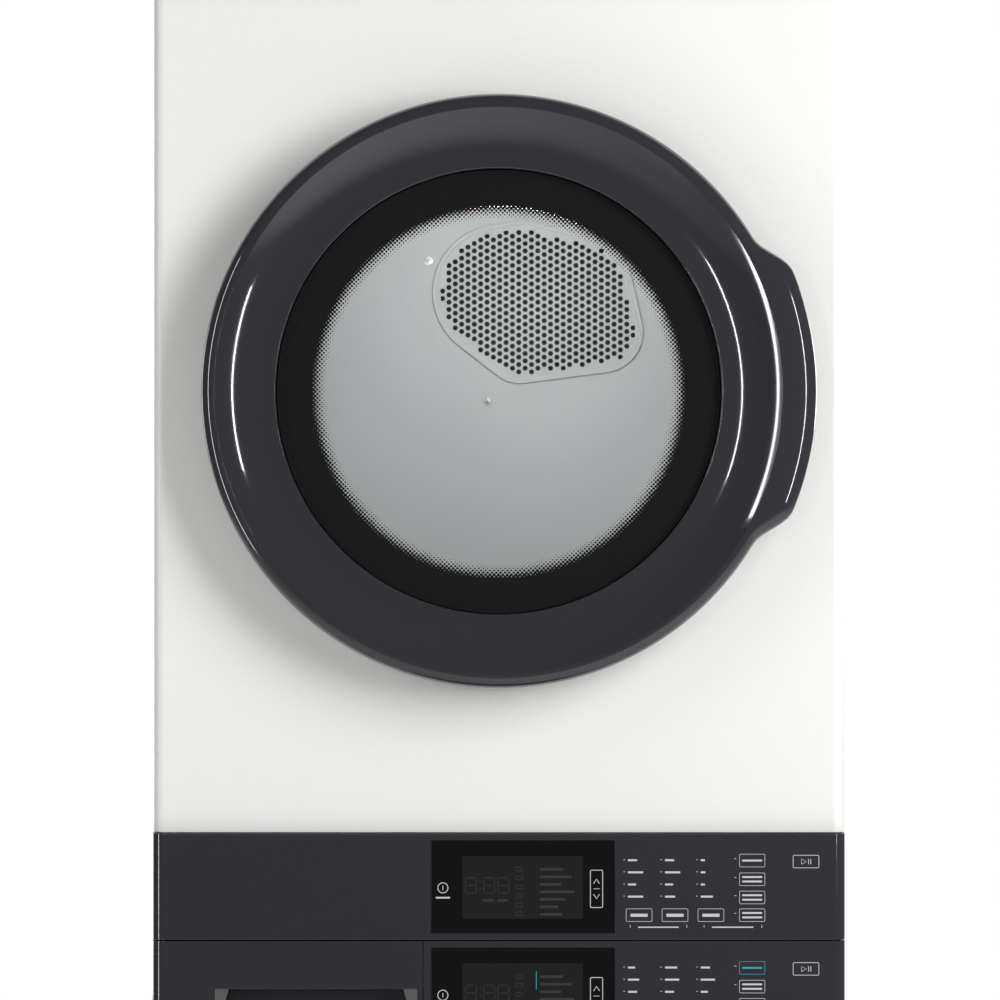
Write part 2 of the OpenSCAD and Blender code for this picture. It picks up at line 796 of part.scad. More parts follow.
module exhaust_duct() {
  intake_w = filter_w / 2 + 5;
  intake_z0 = pan_z + 40;
  intake_z1 = dryer_c - drum_r - 12;
  y0 = motor_y0 - 85;
  rb = blower_r + 7;
  color("silver") {
    difference() {
      union() {
        at(motor_x, motor_z) rod(y0, motor_y0 - 12, rb + 3);
        block(motor_x, collar_x + 60, y0, motor_y0 - 12, pan_z, pan_z + 2 * collar_r + 20);
        block(motor_x - 50, intake_w, y0 - 60, y0 + 3, intake_z0, intake_z1);
        block(-intake_w, intake_w, bulk_f + seat_gap, y0 - 50, intake_z0, intake_z1);
      }
      at(motor_x, motor_z) rod(y0 + 3, motor_y0 - 15, rb);
      block(motor_x, collar_x + 57, y0 + 3, motor_y0 - 15, pan_z + 3,
            pan_z + 2 * collar_r + 17);
      at(motor_x, motor_z) rod(y0 - 5, y0 + 9, 45);
      block(motor_x - 47, intake_w - 3, y0 - 57, y0, intake_z0 + 3, intake_z1 - 3);
      block(-intake_w + 3, intake_w - 3, bulk_f - eps, y0 - 40, intake_z0 + 3, intake_z1 - 3);
      at(motor_x, motor_z) rod(motor_y0 - 40, motor_y0 + 9, 12);
      at(collar_x, collar_z) rod(motor_y0 - 30, motor_y0 + 9, collar_r - 2.5);
    }
    at(collar_x, collar_z) union() {
      tube(motor_y0 - 12, back_y + 2, collar_r - 1.5, collar_r - 2.5);
      tube(back_y, back_y + 2, collar_r + 4, collar_r - 2.5);
      tube(back_y + 1, stub_y, collar_r, collar_r - 1);
    }
  }
}

module heater_box() {
  reach = 120;
  top = dryer_c + grille_up + 96;
  color("silver") difference() {
    block(grille_x - reach, grille_x + reach, bulk_b + sheet, bulk_b + 40, dryer_c - 140, top);
    block(grille_x - reach + sheet, grille_x + reach - sheet, bulk_b + sheet - eps, bulk_b + 38,
          dryer_c - 138, top - sheet);
  }
}

// ---- washer inside ----

module washer_gasket() {
  m = washer_mouth_r;
  y1 = tub_y0 - 0.3;
  color("gray") at(0, washer_door_z)
    turned([[m - 6, front_y + sheet + 0.3], [m + 8, front_y + sheet + 0.3],
            [m + 8, front_y + 14], [m - 1, front_y + 18], [m + 12, front_y + 34],
            [m - 1, front_y + 50], [m + 8, front_y + 62], [m + 8, y1], [m - 6, y1],
            [m - 6, front_y + 62], [m - 12, front_y + 50], [m + 4, front_y + 34],
            [m - 12, front_y + 18]]);
}

module washer_tub() {
  color("whitesmoke") at(0, washer_door_z) difference() {
    union() {
      rod(tub_y0, tub_y1, tub_r);
      rod(tub_y1 - 1, tub_y1 + 35, hub_r + 5);
      for (a = [0 : 45 : 315]) rotate([0, a, 0])
        block(hub_r, tub_r - 40, tub_y1 - 1, tub_y1 + 18, -3, 3);
      block(-20, 20, tub_y1 - 120, tub_y1,
            wash_motor_z - washer_door_z + wash_motor_r + seat_gap, -tub_r + tub_wall - 1);
    }
    rod(tub_y0 + tub_wall, tub_y1 - tub_wall, tub_r - tub_wall);
    rod(tub_y0 - eps, tub_y0 + tub_wall + eps, washer_mouth_r);
    rod(tub_y1 - tub_wall - 2, tub_y1 + 40, 31 + fit_gap);
  }
}

module shaft_bearings() {
  color("silver") at(0, washer_door_z) {
    tube(tub_y1 - 2, tub_y1 + 12, 31, wash_shaft_r + run_gap);
    tube(tub_y1 + 20, tub_y1 + 35, 31, wash_shaft_r + run_gap);
  }
}

module washer_drum() {
  color("gainsboro") at(0, washer_door_z) difference() {
    rod(wash_y0, wash_y1, wash_r);
    rod(wash_y0 + 2, wash_y1 - 2, wash_r - 2);
    rod(wash_y0 - eps, wash_y0 + 3, washer_mouth_r);
  }
}

module washer_lifters() {
  r = wash_r - 2;
  color("lightgray") at(0, washer_door_z) for (a = [30, 150, 270]) rotate([0, a, 0])
    intersection() {
      panel_y(wash_y0 + 25, wash_y1 - 25)
        polygon([[r - 50, -8], [r - 54, 0], [r - 50, 8], [r + 3, 30], [r + 3, -30]]);
      rod(wash_y0, wash_y1, r - 0.2);
    }
}

module drum_shaft() {
  color("silver") at(0, washer_door_z) union() {
    rod(wash_y1, wash_pulley_y + 20, wash_shaft_r);
    rod(wash_y1, wash_y1 + 16, 40);
    for (a = [30, 150, 270]) rotate([0, a, 0])
      block(30, wash_r - 6, wash_y1, wash_y1 + 14, -14, 14);
  }
}

module washer_pulley() {
  color("silver") at(0, washer_door_z) difference() {
    union() {
      tube(wash_pulley_y, wash_pulley_y + belt_w + 4, wash_pulley_r, wash_pulley_r - 8);
      tube(wash_pulley_y, wash_pulley_y + 16, 32, wash_shaft_r + fit_gap);
      for (a = [0 : 60 : 300]) rotate([0, a, 0])
        block(28, wash_pulley_r - 6, wash_pulley_y + 2, wash_pulley_y + 10, -8, 8);
    }
    rod(wash_pulley_y - eps, wash_pulley_y + 30, wash_shaft_r + fit_gap);
  }
}

module washer_motor() {
  color("silver") at(0, wash_motor_z) difference() {
    union() {
      rod(tub_y1 - 120, tub_y1 + 30, wash_motor_r);
      block(-25, 25, tub_y1 - 115, tub_y1 - 5, 0, wash_motor_r - 0.3);
    }
    rod(tub_y1 - 100, tub_y1 + 40, 6 + run_gap);
  }
}

module washer_motor_pulley() {
  color("silver") at(0, wash_motor_z) union() {
    rod(tub_y1 - 98, wash_pulley_y + belt_w + 4, 6);
    rod(wash_pulley_y, wash_pulley_y + belt_w + 4, motor_pulley_r);
  }
}

module counterweights() {
  color("gray") at(0, washer_door_z) for (s = [-1, 1]) intersection() {
    tube(tub_y0 - 28, tub_y0 - 0.3, tub_r - 4, washer_mouth_r + 16);
    block(-half_w, half_w, tub_y0 - 40, tub_y0 + 40, s > 0 ? 60 : -tub_r, s > 0 ? tub_r : -60);
  }
}

// hung springs over the tub and friction dampers under it
module tub_suspension() {
  sy = (tub_y0 + tub_y1) / 2;
  spring_x = tub_r - 20;
  lug_up = 190;
  lug_z = washer_door_z + lug_up;
  lug_x = sqrt(tub_r * tub_r - pow(lug_up - 16, 2)) + seat_gap;
  foot_z = base_z + base_h;
  arm_z = foot_z + 186;
  arm_x = sqrt(tub_r * tub_r - pow(washer_door_z - arm_z - 12, 2)) + seat_gap;
  damper_x = half_w - 45;
  color("dimgray") mirror_copy() {
    union() {
      for (i = [0 : 13]) translate([spring_x, sy, lug_z + 12 + 7 * i]) cylinder(h = 5, r = 11);
      translate([spring_x, sy, lug_z - 8]) cylinder(h = 130, r = 7);
      block(lug_x, spring_x + 12, sy - 14, sy + 14, lug_z - 16, lug_z - 6);
      block(spring_x - 10, half_w - sheet, sy - 14, sy + 14, lug_z + 118, lug_z + 124);
    }
    union() {
      translate([damper_x, sy, foot_z]) cylinder(h = 130, r = 14);
      translate([damper_x, sy, foot_z + 125]) cylinder(h = 70, r = 6);
      block(arm_x, damper_x + 11, sy - 12, sy + 12, arm_z, arm_z + 12);
    }
  }
}

module drain_pump() {
  px = 190;
  color("gray") union() {
    at(px, base_z + base_h + 36) rod(front_y + 30, front_y + 150, 34);
    block(px - 30, px + 30, front_y + 60, front_y + 140, base_z + base_h, base_z + base_h + 30);
    translate([px, front_y + 90, base_z + base_h + 60]) cylinder(h = 20, r = 16);
  }
  color("gray") union() {
    at(drain_x, drain_z) tube(back_y - 30, back_y + 2, spigot_r - 0.6, spigot_r - 2);
    at(drain_x, drain_z) tube(back_y, back_y + 2, spigot_r + 8, spigot_r - 2);
    at(drain_x, drain_z) tube(back_y + 1, stub_y, spigot_r, spigot_r - 2);
  }
}

module inlet_valves() {
  color("gainsboro") for (x = valve_x) union() {
    at(x, valve_z) tube(back_y - 45, back_y + 2, inlet_r - 1, inlet_r - 4);
    at(x, valve_z) tube(back_y, back_y + 2, inlet_r + 7, inlet_r - 4);
    at(x, valve_z) tube(back_y + 1, back_y + 22, inlet_r, inlet_r - 4);
    block(x - 18, x + 18, back_y - 90, back_y - 44, valve_z - 18, valve_z + 18);
  }
}

base_frame();
levelling_feet();
washer_sides();
dryer_sides();
top_panel();
rear_panels();
washer_front_panel();
dryer_front_panel();
toe_panel();
dryer_pan();
dryer_fascia();
washer_fascia();
display_glasses();
control_boards();
drawer_tray();
drawer_front();
drawer_trim();
dispenser_housing();
hinge_brackets();
door_catches();
dryer_door_ring();
dryer_door_glass();
dryer_door_inner();
dryer_door_hardware();
washer_door_ring();
washer_door_glass();
washer_door_inner();
washer_door_hardware();
dryer_door_seal();
dryer_drum();
dryer_baffles();
front_bulkhead();
rear_bulkhead();
air_grille();
grille_screws();
lint_filter();
drum_roller_left();
drum_roller_right();
roller_shafts();
dryer_belt();
idler_pulley();
dryer_motor();
dryer_motor_shaft();
blower_wheel();
exhaust_duct();
heater_box();
washer_gasket();
washer_tub();
washer_drum();
washer_lifters();
drum_shaft();
shaft_bearings();
washer_pulley();
washer_belt();
washer_motor();
washer_motor_pulley();
counterweights();
tub_suspension();
drain_pump();
inlet_valves();
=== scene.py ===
"""Looks of a laundry tower, a vented dryer over a front-loading washer, built on its frame."""

import json
import math

import bpy
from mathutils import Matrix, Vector, geometry


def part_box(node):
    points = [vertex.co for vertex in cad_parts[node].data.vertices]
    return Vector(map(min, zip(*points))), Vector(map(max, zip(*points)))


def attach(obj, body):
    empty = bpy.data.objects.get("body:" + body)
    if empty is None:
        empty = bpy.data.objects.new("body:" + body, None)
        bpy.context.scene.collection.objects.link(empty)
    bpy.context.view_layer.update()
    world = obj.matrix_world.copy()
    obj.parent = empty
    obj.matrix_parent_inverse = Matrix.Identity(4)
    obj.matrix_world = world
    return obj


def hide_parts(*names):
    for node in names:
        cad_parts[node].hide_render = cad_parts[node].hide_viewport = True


bl_info = {
    "name": "Laundry Tower Looks",
    "version": (1, 0, 0),
    "blender": (4, 5, 0),
    "location": "View3D > Sidebar > Laundry Tower",
    "description": "Shapes and finishes of a stacked washer and dryer",
    "category": "Add Mesh",
}

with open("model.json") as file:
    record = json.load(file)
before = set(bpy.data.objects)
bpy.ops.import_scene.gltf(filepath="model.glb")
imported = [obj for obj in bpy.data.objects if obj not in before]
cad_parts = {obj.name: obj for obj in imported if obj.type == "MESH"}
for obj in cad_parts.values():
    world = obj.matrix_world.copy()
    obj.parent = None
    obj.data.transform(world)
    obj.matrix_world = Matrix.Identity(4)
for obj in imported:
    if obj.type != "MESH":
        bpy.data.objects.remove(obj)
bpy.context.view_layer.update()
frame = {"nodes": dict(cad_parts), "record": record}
NODES = frame["nodes"]
BODIES = frame["record"]["behaviour"]["bodies"]
BODY_OF = {node: body for body, members in BODIES.items() for node in members}
SLOT_OF = {row["node"]: row["material_slot"] for row in frame["record"]["subparts"]}
MM = 0.001


# ---------------------------------------------------------------- places from the frame

def middle(node):
    """The centre of a node's box."""
    low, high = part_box(node)
    return (low + high) / 2


class Door:
    """The measures of one door, read from its nodes."""

    def __init__(self, kind):
        low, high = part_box(kind + "_door_ring")
        self.kind = kind
        self.centre = Vector((0.0, 0.0, (low.z + high.z) / 2))
        self.ring_r = -low.x
        self.grip_out = high.x - self.ring_r
        self.front = low.y
        self.back = high.y
        self.glass_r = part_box(kind + "_door_glass")[1].x


DRYER_DOOR = Door("dryer")
WASHER_DOOR = Door("washer")
BAND_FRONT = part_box("dryer_fascia")[0].y
HALF_TOPS = (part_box("dryer_fascia")[1].z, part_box("washer_fascia")[1].z)

# the Mix node's colour sockets
MIX_A, MIX_B, MIX_OUT = 6, 7, 2


# ---------------------------------------------------------------- node helper and colours

def srgb(code):
    """A hex colour as the linear values that shaders take."""
    def linear(value):
        return value / 12.92 if value <= 0.04045 else ((value + 0.055) / 1.055) ** 2.4
    parts = [int(code[i:i + 2], 16) / 255 for i in (1, 3, 5)]
    return (*[linear(part) for part in parts], 1.0)


def linear_of(colour):
    """A colour from a hex code, or from a user's colour field, which is linear already."""
    return srgb(colour) if isinstance(colour, str) else tuple(colour)


def add(tree, kind, links=None, **settings):
    """Adds a node: settings are its properties, links fill its sockets by value or link."""
    made = tree.nodes.new(kind)
    for key, value in settings.items():
        setattr(made, key, value)
    for key, value in (links or {}).items():
        if isinstance(value, bpy.types.NodeSocket):
            tree.links.new(value, made.inputs[key])
        else:
            made.inputs[key].default_value = value
    return made


def new_material(name):
    """An empty node material with its output and Object coordinates."""
    material = bpy.data.materials.new(name)
    material.use_nodes = True
    tree = material.node_tree
    tree.nodes.clear()
    output = add(tree, "ShaderNodeOutputMaterial")
    place = add(tree, "ShaderNodeTexCoord").outputs["Object"]
    return material, tree, output, place


def grained(name, light, dark, grain, rough=(0.3, 0.4), bump=0.05, stretch=(1, 1, 1),
            spots=None, shader=None):
    """A surface with a grain of a real size in mm, blotches that turn its gloss, and a bump.

    light and dark are the two colours the grain runs between, rough the two limits of its
    roughness. stretch lengthens the grain for brushed or drawn metal."""
    material, tree, output, place = new_material(name)
    turned_place = add(tree, "ShaderNodeMapping", {"Vector": place, "Scale": stretch})
    fine = add(tree, "ShaderNodeTexNoise",
               {"Vector": turned_place.outputs[0], "Scale": 1 / (grain * MM), "Detail": 4.0,
                "Roughness": 0.6})
    broad = add(tree, "ShaderNodeTexNoise",
                {"Vector": place, "Scale": 9.0, "Detail": 3.0, "Roughness": 0.5})
    pattern = fine.outputs["Fac"]
    if spots:
        cells = add(tree, "ShaderNodeTexVoronoi",
                    {"Vector": place, "Scale": 1 / (spots * MM)}, feature="F1")
        pattern = add(tree, "ShaderNodeMath", {0: fine.outputs["Fac"],
                      1: cells.outputs["Color"]}, operation="MULTIPLY").outputs[0]
    colour = add(tree, "ShaderNodeMix", {0: pattern, MIX_A: linear_of(light),
                  MIX_B: linear_of(dark)},
                 data_type="RGBA")
    gloss = add(tree, "ShaderNodeMapRange",
                {"Value": broad.outputs["Fac"], "From Min": 0.3, "From Max": 0.7,
                 "To Min": rough[0], "To Max": rough[1]})
    relief = add(tree, "ShaderNodeBump",
                 {"Height": fine.outputs["Fac"], "Strength": bump, "Distance": 0.3 * MM})
    surface = add(tree, "ShaderNodeBsdfPrincipled",
                  {"Base Color": colour.outputs[MIX_OUT], "Roughness": gloss.outputs[0],
                   "Normal": relief.outputs[0], **(shader or {})})
    tree.links.new(surface.outputs[0], output.inputs["Surface"])
    return material


# ---------------------------------------------------------------- materials

def colours():
    """The colours that a user may change."""
    return bpy.context.scene.laundry_tower_colours


def sizes():
    """The sizes of details that a user may change."""
    return bpy.context.scene.laundry_tower_sizes


def powder_coated_steel():
    """White polyester powder coat: baked on, so it flows to a soft orange-peel skin."""
    return grained("powder_coated_steel", colours().cabinet, "#E7E7E5", grain=2.2,
                   rough=(0.31, 0.34), bump=0.05, shader={"IOR": 1.5})


def gloss_abs():
    """Titanium-grey ABS moulded in a polished tool: mirror gloss over fine pearl flake."""
    return grained("gloss_moulded_abs", colours().band, "#2E2E34", grain=0.8,
                   rough=(0.07, 0.10), bump=0.004,
                   shader={"IOR": 1.53, "Coat Weight": 0.6, "Coat Roughness": 0.03})


def painted_shade_steel():
    """Sheet steel painted near-black as painted shade, so that the holes of the air grille in
    front of it read dark.
    """
    return grained("painted_shade_steel", "#2B2A2B", "#1F1E1F", grain=40, rough=(0.55, 0.75), bump=0.03)


def galvanised_steel():
    """Hot-dip galvanised sheet: zinc crystals some 12 mm wide catch the light in patches."""
    return grained("galvanised_sheet", "#B4B7B9", "#8D9194", grain=3, spots=12,
                   rough=(0.34, 0.5), bump=0.03, shader={"Metallic": 0.85})


def zinc_plated_steel():
    """Bright zinc-plated pressings: pale metal with a faint drawn grain."""
    return grained("zinc_plated_steel", "#C4C5C6", "#9B9DA0", grain=0.6, stretch=(1, 6, 1),
                   rough=(0.24, 0.36), bump=0.04, shader={"Metallic": 1.0})


def lacquered_steel():
    """Motor cases: rolled steel under clear lacquer, dull and slightly streaked."""
    return grained("lacquered_motor_steel", "#84878A", "#63666A", grain=1.5,
                   stretch=(1, 0.2, 1), rough=(0.38, 0.52), bump=0.08, shader={"Metallic": 0.7})


def cast_aluminium():
    """Die-cast aluminium: light grey with a sandy skin from the mould."""
    return grained("cast_aluminium", "#BDBEBF", "#9A9C9E", grain=1.2, rough=(0.4, 0.55),
                   bump=0.2, shader={"Metallic": 0.9})


def chrome_plate():
    """Chrome-plated ABS: a mirror with the slightest haze."""
    return grained("chrome_plated_abs", "#E2E3E5", "#D2D4D7", grain=4, rough=(0.05, 0.12),
                   bump=0.01, shader={"Metallic": 1.0})


def drum_enamel():
    """Light grey powder coat inside the dryer: matt, with a fine leathery texture."""
    return grained("drum_powder_coat", "#C9CBCB", "#BCBEBF", grain=1.1, rough=(0.42, 0.52),
                   bump=0.12, shader={"IOR": 1.5})


def drum_plastic():
    """Baffles and lifters: polypropylene moulded with a spark-eroded satin grain."""
    return grained("moulded_baffle_plastic", "#C3C5C6", "#B2B4B6", grain=0.7,
                   rough=(0.38, 0.48), bump=0.1, shader={"IOR": 1.49})


def grey_polypropylene():
    """Grey polypropylene: waxy, slightly translucent, with a satin moulded skin."""
    return grained("moulded_polypropylene", "#A2A4A6", "#909295", grain=0.8,
                   rough=(0.36, 0.46), bump=0.06, shader={"IOR": 1.49, "Subsurface Weight": 0.05})


def tub_polypropylene():
    """Glass-filled polypropylene tub: cloudy off-white with flow marks."""
    return grained("glass_filled_polypropylene", "#CFCEC8", "#B9B8B1", grain=6,
                   rough=(0.42, 0.55), bump=0.08, shader={"IOR": 1.49})


def valve_plastic():
    """White glass-filled nylon, matt from its fibres."""
    return grained("glass_filled_nylon", "#DAD9D4", "#C6C5BF", grain=1, rough=(0.4, 0.5),
                   bump=0.08, shader={"IOR": 1.53})


def black_nylon():
    """Black nylon: deep, satin, with a fine etched grain."""
    return grained("moulded_black_nylon", "#1B1B1D", "#0F0F11", grain=0.7, rough=(0.35, 0.48),
                   bump=0.1, shader={"IOR": 1.53})


def black_rubber():
    """Moulded black rubber: dusty matt with a soft sheen."""
    return grained("moulded_black_rubber", "#222223", "#151516", grain=1.2, rough=(0.6, 0.78),
                   bump=0.15, shader={"IOR": 1.5})


def grey_rubber():
    """The gasket's grey EPDM: even, satin, faintly bloomed."""
    return grained("moulded_grey_rubber", "#6E7073", "#5D5F62", grain=2.5, rough=(0.45, 0.6),
                   bump=0.06, shader={"IOR": 1.5})


def felt_seal():
    """Pressed grey felt: a matt mat of short fibres."""
    return grained("pressed_felt", "#77787A", "#57585B", grain=0.5, rough=(0.85, 0.95),
                   bump=0.6, shader={"Sheen Weight": 0.3})


def cast_concrete():
    """Vibrated concrete: sand-coloured grey with pits and coarse grains."""
    return grained("cast_concrete", "#A3A19B", "#7F7D77", grain=4, rough=(0.8, 0.92), bump=0.6)


def circuit_laminate():
    """Green solder lacquer over glass laminate, with a faint weave."""
    return grained("lacquered_laminate", "#1F5B33", "#174526", grain=0.6, rough=(0.25, 0.35),
                   bump=0.1)


def display_glass():
    """Back-printed black glass: a deep mirror with the faintest handling haze."""
    return grained("back_printed_glass", "#070708", "#0A0A0B", grain=30, rough=(0.04, 0.09),
                   bump=0.0, shader={"IOR": 1.52})


def lcd_window():
    """The unlit liquid-crystal window behind the glass: a lighter, softer black."""
    return grained("unlit_lcd", "#1E1E1F", "#1B1B1C", grain=0.9, rough=(0.12, 0.18), bump=0.0)


def printed_ink(name, colour, worn):
    """Screen-printed ink: thin, matt, with a very slight mottle from the mesh."""
    return grained(name, colour, worn, grain=0.4, rough=(0.45, 0.6), bump=0.05)


def stainless_drum():
    """Brushed stainless sheet with a field of punched holes, 3 mm wide on a 9 mm grid; the holes
    are painted near-black, painted shade for the dark behind them.
    """
    material, tree, output, place = new_material("perforated_stainless")
    centre = WASHER_DOOR.centre
    moved = add(tree, "ShaderNodeMapping", {"Vector": place, "Location": -centre})
    axes = add(tree, "ShaderNodeSeparateXYZ", {0: moved.outputs[0]})
    angle = add(tree, "ShaderNodeMath", {0: axes.outputs["X"], 1: axes.outputs["Z"]},
                operation="ARCTAN2")
    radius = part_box("washer_drum")[1].x
    pitch = 9 * MM
    around = round(2 * math.pi * radius / pitch)
    turns = add(tree, "ShaderNodeMath", {0: angle.outputs[0], 1: around / (2 * math.pi)},
                operation="MULTIPLY")
    along = add(tree, "ShaderNodeMath", {0: axes.outputs["Y"], 1: 1 / pitch},
                operation="MULTIPLY")
    grid = []
    for value in (turns, along):
        part = add(tree, "ShaderNodeMath", {0: value.outputs[0]}, operation="FRACT")
        grid.append(add(tree, "ShaderNodeMath", {0: part.outputs[0], 1: 0.5},
                        operation="SUBTRACT"))
    spot = add(tree, "ShaderNodeCombineXYZ", {"X": grid[0].outputs[0], "Y": grid[1].outputs[0]})
    far = add(tree, "ShaderNodeVectorMath", {0: spot.outputs[0]}, operation="LENGTH")
    metal = add(tree, "ShaderNodeMapRange",
                {"Value": far.outputs["Value"], "From Min": 0.16, "From Max": 0.2})
    grain = add(tree, "ShaderNodeMapping", {"Vector": place, "Scale": (1, 12, 1)})
    brush = add(tree, "ShaderNodeTexNoise",
                {"Vector": grain.outputs[0], "Scale": 900.0, "Detail": 3.0})
    steel = add(tree, "ShaderNodeMix", {0: brush.outputs["Fac"], MIX_A: srgb("#B9BBBD"),
                                        MIX_B: srgb("#9EA1A4")}, data_type="RGBA")
    # painted shade: the holes are near-black, for the dark seen through them
    colour = add(tree, "ShaderNodeMix", {0: metal.outputs[0], MIX_A: srgb("#0A0A0A"),
                                         MIX_B: steel.outputs[MIX_OUT]}, data_type="RGBA")
    relief = add(tree, "ShaderNodeBump",
                 {"Height": metal.outputs[0], "Strength": 0.5, "Distance": 0.8 * MM})
    surface = add(tree, "ShaderNodeBsdfPrincipled",
                  {"Base Color": colour.outputs[MIX_OUT], "Metallic": metal.outputs[0],
                   "Roughness": 0.28, "Normal": relief.outputs[0]})
    tree.links.new(surface.outputs[0], output.inputs["Surface"])
    return material


def door_glass(door):
    """Toughened glass: clear in the middle, then printed dots that grow into a black rim."""
    material, tree, output, place = new_material(door.kind + "_toughened_glass")
    clear_r = door.glass_r - 50 * MM
    solid_r = door.glass_r - 31 * MM
    pitch = sizes().dot_pitch
    moved = add(tree, "ShaderNodeMapping", {"Vector": place, "Location": -door.centre})
    flat = add(tree, "ShaderNodeVectorMath",
               {0: moved.outputs[0], 1: (1.0, 0.0, 1.0)}, operation="MULTIPLY")
    reach = add(tree, "ShaderNodeVectorMath", {0: flat.outputs[0]}, operation="LENGTH")
    lattice = add(tree, "ShaderNodeMapping",
                  {"Vector": flat.outputs[0], "Rotation": (0, math.radians(45), 0),
                   "Scale": (1 / pitch, 1 / pitch, 1 / pitch)})
    cell = add(tree, "ShaderNodeVectorMath", {0: lattice.outputs[0]}, operation="FRACTION")
    off = add(tree, "ShaderNodeVectorMath", {0: cell.outputs[0], 1: (0.5, 0.0, 0.5)},
              operation="SUBTRACT")
    spot = add(tree, "ShaderNodeVectorMath", {0: off.outputs[0], 1: (1.0, 0.0, 1.0)},
               operation="MULTIPLY")
    far = add(tree, "ShaderNodeVectorMath", {0: spot.outputs[0]}, operation="LENGTH")
    size = add(tree, "ShaderNodeMapRange",
               {"Value": reach.outputs["Value"], "From Min": clear_r, "From Max": solid_r,
                "To Min": 0.0, "To Max": 0.74}, clamp=True)
    edge = add(tree, "ShaderNodeMath", {0: size.outputs[0], 1: far.outputs["Value"]},
               operation="SUBTRACT")
    ink = add(tree, "ShaderNodeMapRange",
              {"Value": edge.outputs[0], "From Min": -0.03, "From Max": 0.03}, clamp=True)
    haze = add(tree, "ShaderNodeTexNoise", {"Vector": place, "Scale": 14.0, "Detail": 3.0})
    gloss = add(tree, "ShaderNodeMapRange", {"Value": haze.outputs["Fac"], "To Min": 0.02,
                                             "To Max": 0.08})
    printed = add(tree, "ShaderNodeBsdfPrincipled",
                  {"Base Color": srgb("#141415"), "Roughness": gloss.outputs[0], "IOR": 1.52})
    through = add(tree, "ShaderNodeBsdfTransparent", {"Color": (0.93, 0.93, 0.925, 1)})
    shine = add(tree, "ShaderNodeBsdfGlossy", {"Roughness": 0.02})
    facing = add(tree, "ShaderNodeFresnel", {"IOR": 1.25})
    clear = add(tree, "ShaderNodeMixShader",
                {0: facing.outputs[0], 1: through.outputs[0], 2: shine.outputs[0]})
    both = add(tree, "ShaderNodeMixShader",
               {0: ink.outputs[0], 1: clear.outputs[0], 2: printed.outputs[0]})
    tree.links.new(both.outputs[0], output.inputs["Surface"])
    return material


MADE = {}


def finish(maker, *words):
    """A maker's material, made once for each set of words."""
    key = (maker.__name__, *[str(word) for word in words])
    if key not in MADE:
        MADE[key] = maker(*words)
    return MADE[key]


# ---------------------------------------------------------------- modelling helpers

def only(obj):
    """Selects one object and makes it active."""
    bpy.ops.object.select_all(action="DESELECT")
    obj.select_set(True)
    bpy.context.view_layer.objects.active = obj


def edit(obj, select="SELECT"):
    """Opens an object's mesh for editing, with all of it selected or none."""
    only(obj)
    bpy.ops.object.mode_set(mode="EDIT")
    bpy.ops.mesh.select_mode(type="VERT")
    bpy.ops.mesh.select_all(action=select)


def close():
    """Leaves edit mode."""
    bpy.ops.object.mode_set(mode="OBJECT")


def settle(obj):
    """Puts an object's place, turn and scale into its mesh."""
    only(obj)
    bpy.ops.object.transform_apply(location=True, rotation=True, scale=True)


def apply_modifier(obj, kind, **settings):
    """Adds a modifier and applies it."""
    only(obj)
    modifier = obj.modifiers.new(kind.lower(), kind)
    for key, value in settings.items():
        setattr(modifier, key, value)
    bpy.ops.object.modifier_apply(modifier=modifier.name)


def soften(obj, width=0.8 * MM, segments=2, angle=30):
    """Rounds the sharp edges and shades the rest smooth."""
    apply_modifier(obj, "BEVEL", width=width, segments=segments, limit_method="ANGLE",
                   angle_limit=math.radians(angle), use_clamp_overlap=True,
                   harden_normals=False)
    shade(obj, angle)
    apply_modifier(obj, "WEIGHTED_NORMAL", keep_sharp=True)


def shade(obj, angle=35):
    """Shades smooth across edges flatter than the angle."""
    only(obj)
    bpy.ops.object.shade_smooth_by_angle(angle=math.radians(angle))


def outward(obj):
    """Merges doubles, drops loose edges and turns every face outwards."""
    edit(obj)
    bpy.ops.mesh.remove_doubles(threshold=0.01 * MM)
    bpy.ops.mesh.delete_loose()
    bpy.ops.mesh.select_all(action="SELECT")
    bpy.ops.mesh.normals_make_consistent(inside=False)
    close()


def paint(obj, material):
    """Gives an object one material."""
    obj.data.materials.clear()
    obj.data.materials.append(material)


def place(obj, material, body, slot, *stands_for):
    """Finishes a piece: its material, the body it rides on and what it stands for."""
    paint(obj, material)
    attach(obj, body)
    if stands_for:
        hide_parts(*stands_for)
    return obj


def stand_in(obj, material, node):
    """Stands a modelled piece in for a node, on that node's body."""
    return place(obj, material, BODY_OF[node], SLOT_OF[node], node)


def copy_of(node, name):
    """A copy of a node's mesh, merged and with its flat faces whole, ready to be reshaped."""
    source = NODES[node]
    piece = bpy.data.objects.new(name, source.data.copy())
    bpy.context.scene.collection.objects.link(piece)
    edit(piece)
    bpy.ops.mesh.remove_doubles(threshold=0.002 * MM)
    bpy.ops.mesh.dissolve_limited(angle_limit=math.radians(0.5))
    close()
    return piece


def softened(node, material, width=0.8 * MM, segments=2, angle=30):
    """Stands a copy with rounded edges in for a node."""
    piece = copy_of(node, node + "_skin")
    soften(piece, width, segments, angle)
    return stand_in(piece, material, node)


def block(name, low, high):
    """A box between two corners, its place in its mesh."""
    low, high = Vector(low), Vector(high)
    bpy.ops.object.select_all(action="DESELECT")
    bpy.ops.mesh.primitive_cube_add(size=1, location=(low + high) / 2, scale=high - low)
    made = bpy.context.object
    made.name = name
    settle(made)
    return made


def rod_y(name, centre, y0, y1, radius, sides=32):
    """A closed cylinder along Y."""
    bpy.ops.object.select_all(action="DESELECT")
    bpy.ops.mesh.primitive_cylinder_add(
        vertices=sides, radius=radius, depth=y1 - y0,
        location=(centre[0], (y0 + y1) / 2, centre[1]), rotation=(math.pi / 2, 0, 0))
    made = bpy.context.object
    made.name = name
    settle(made)
    return made


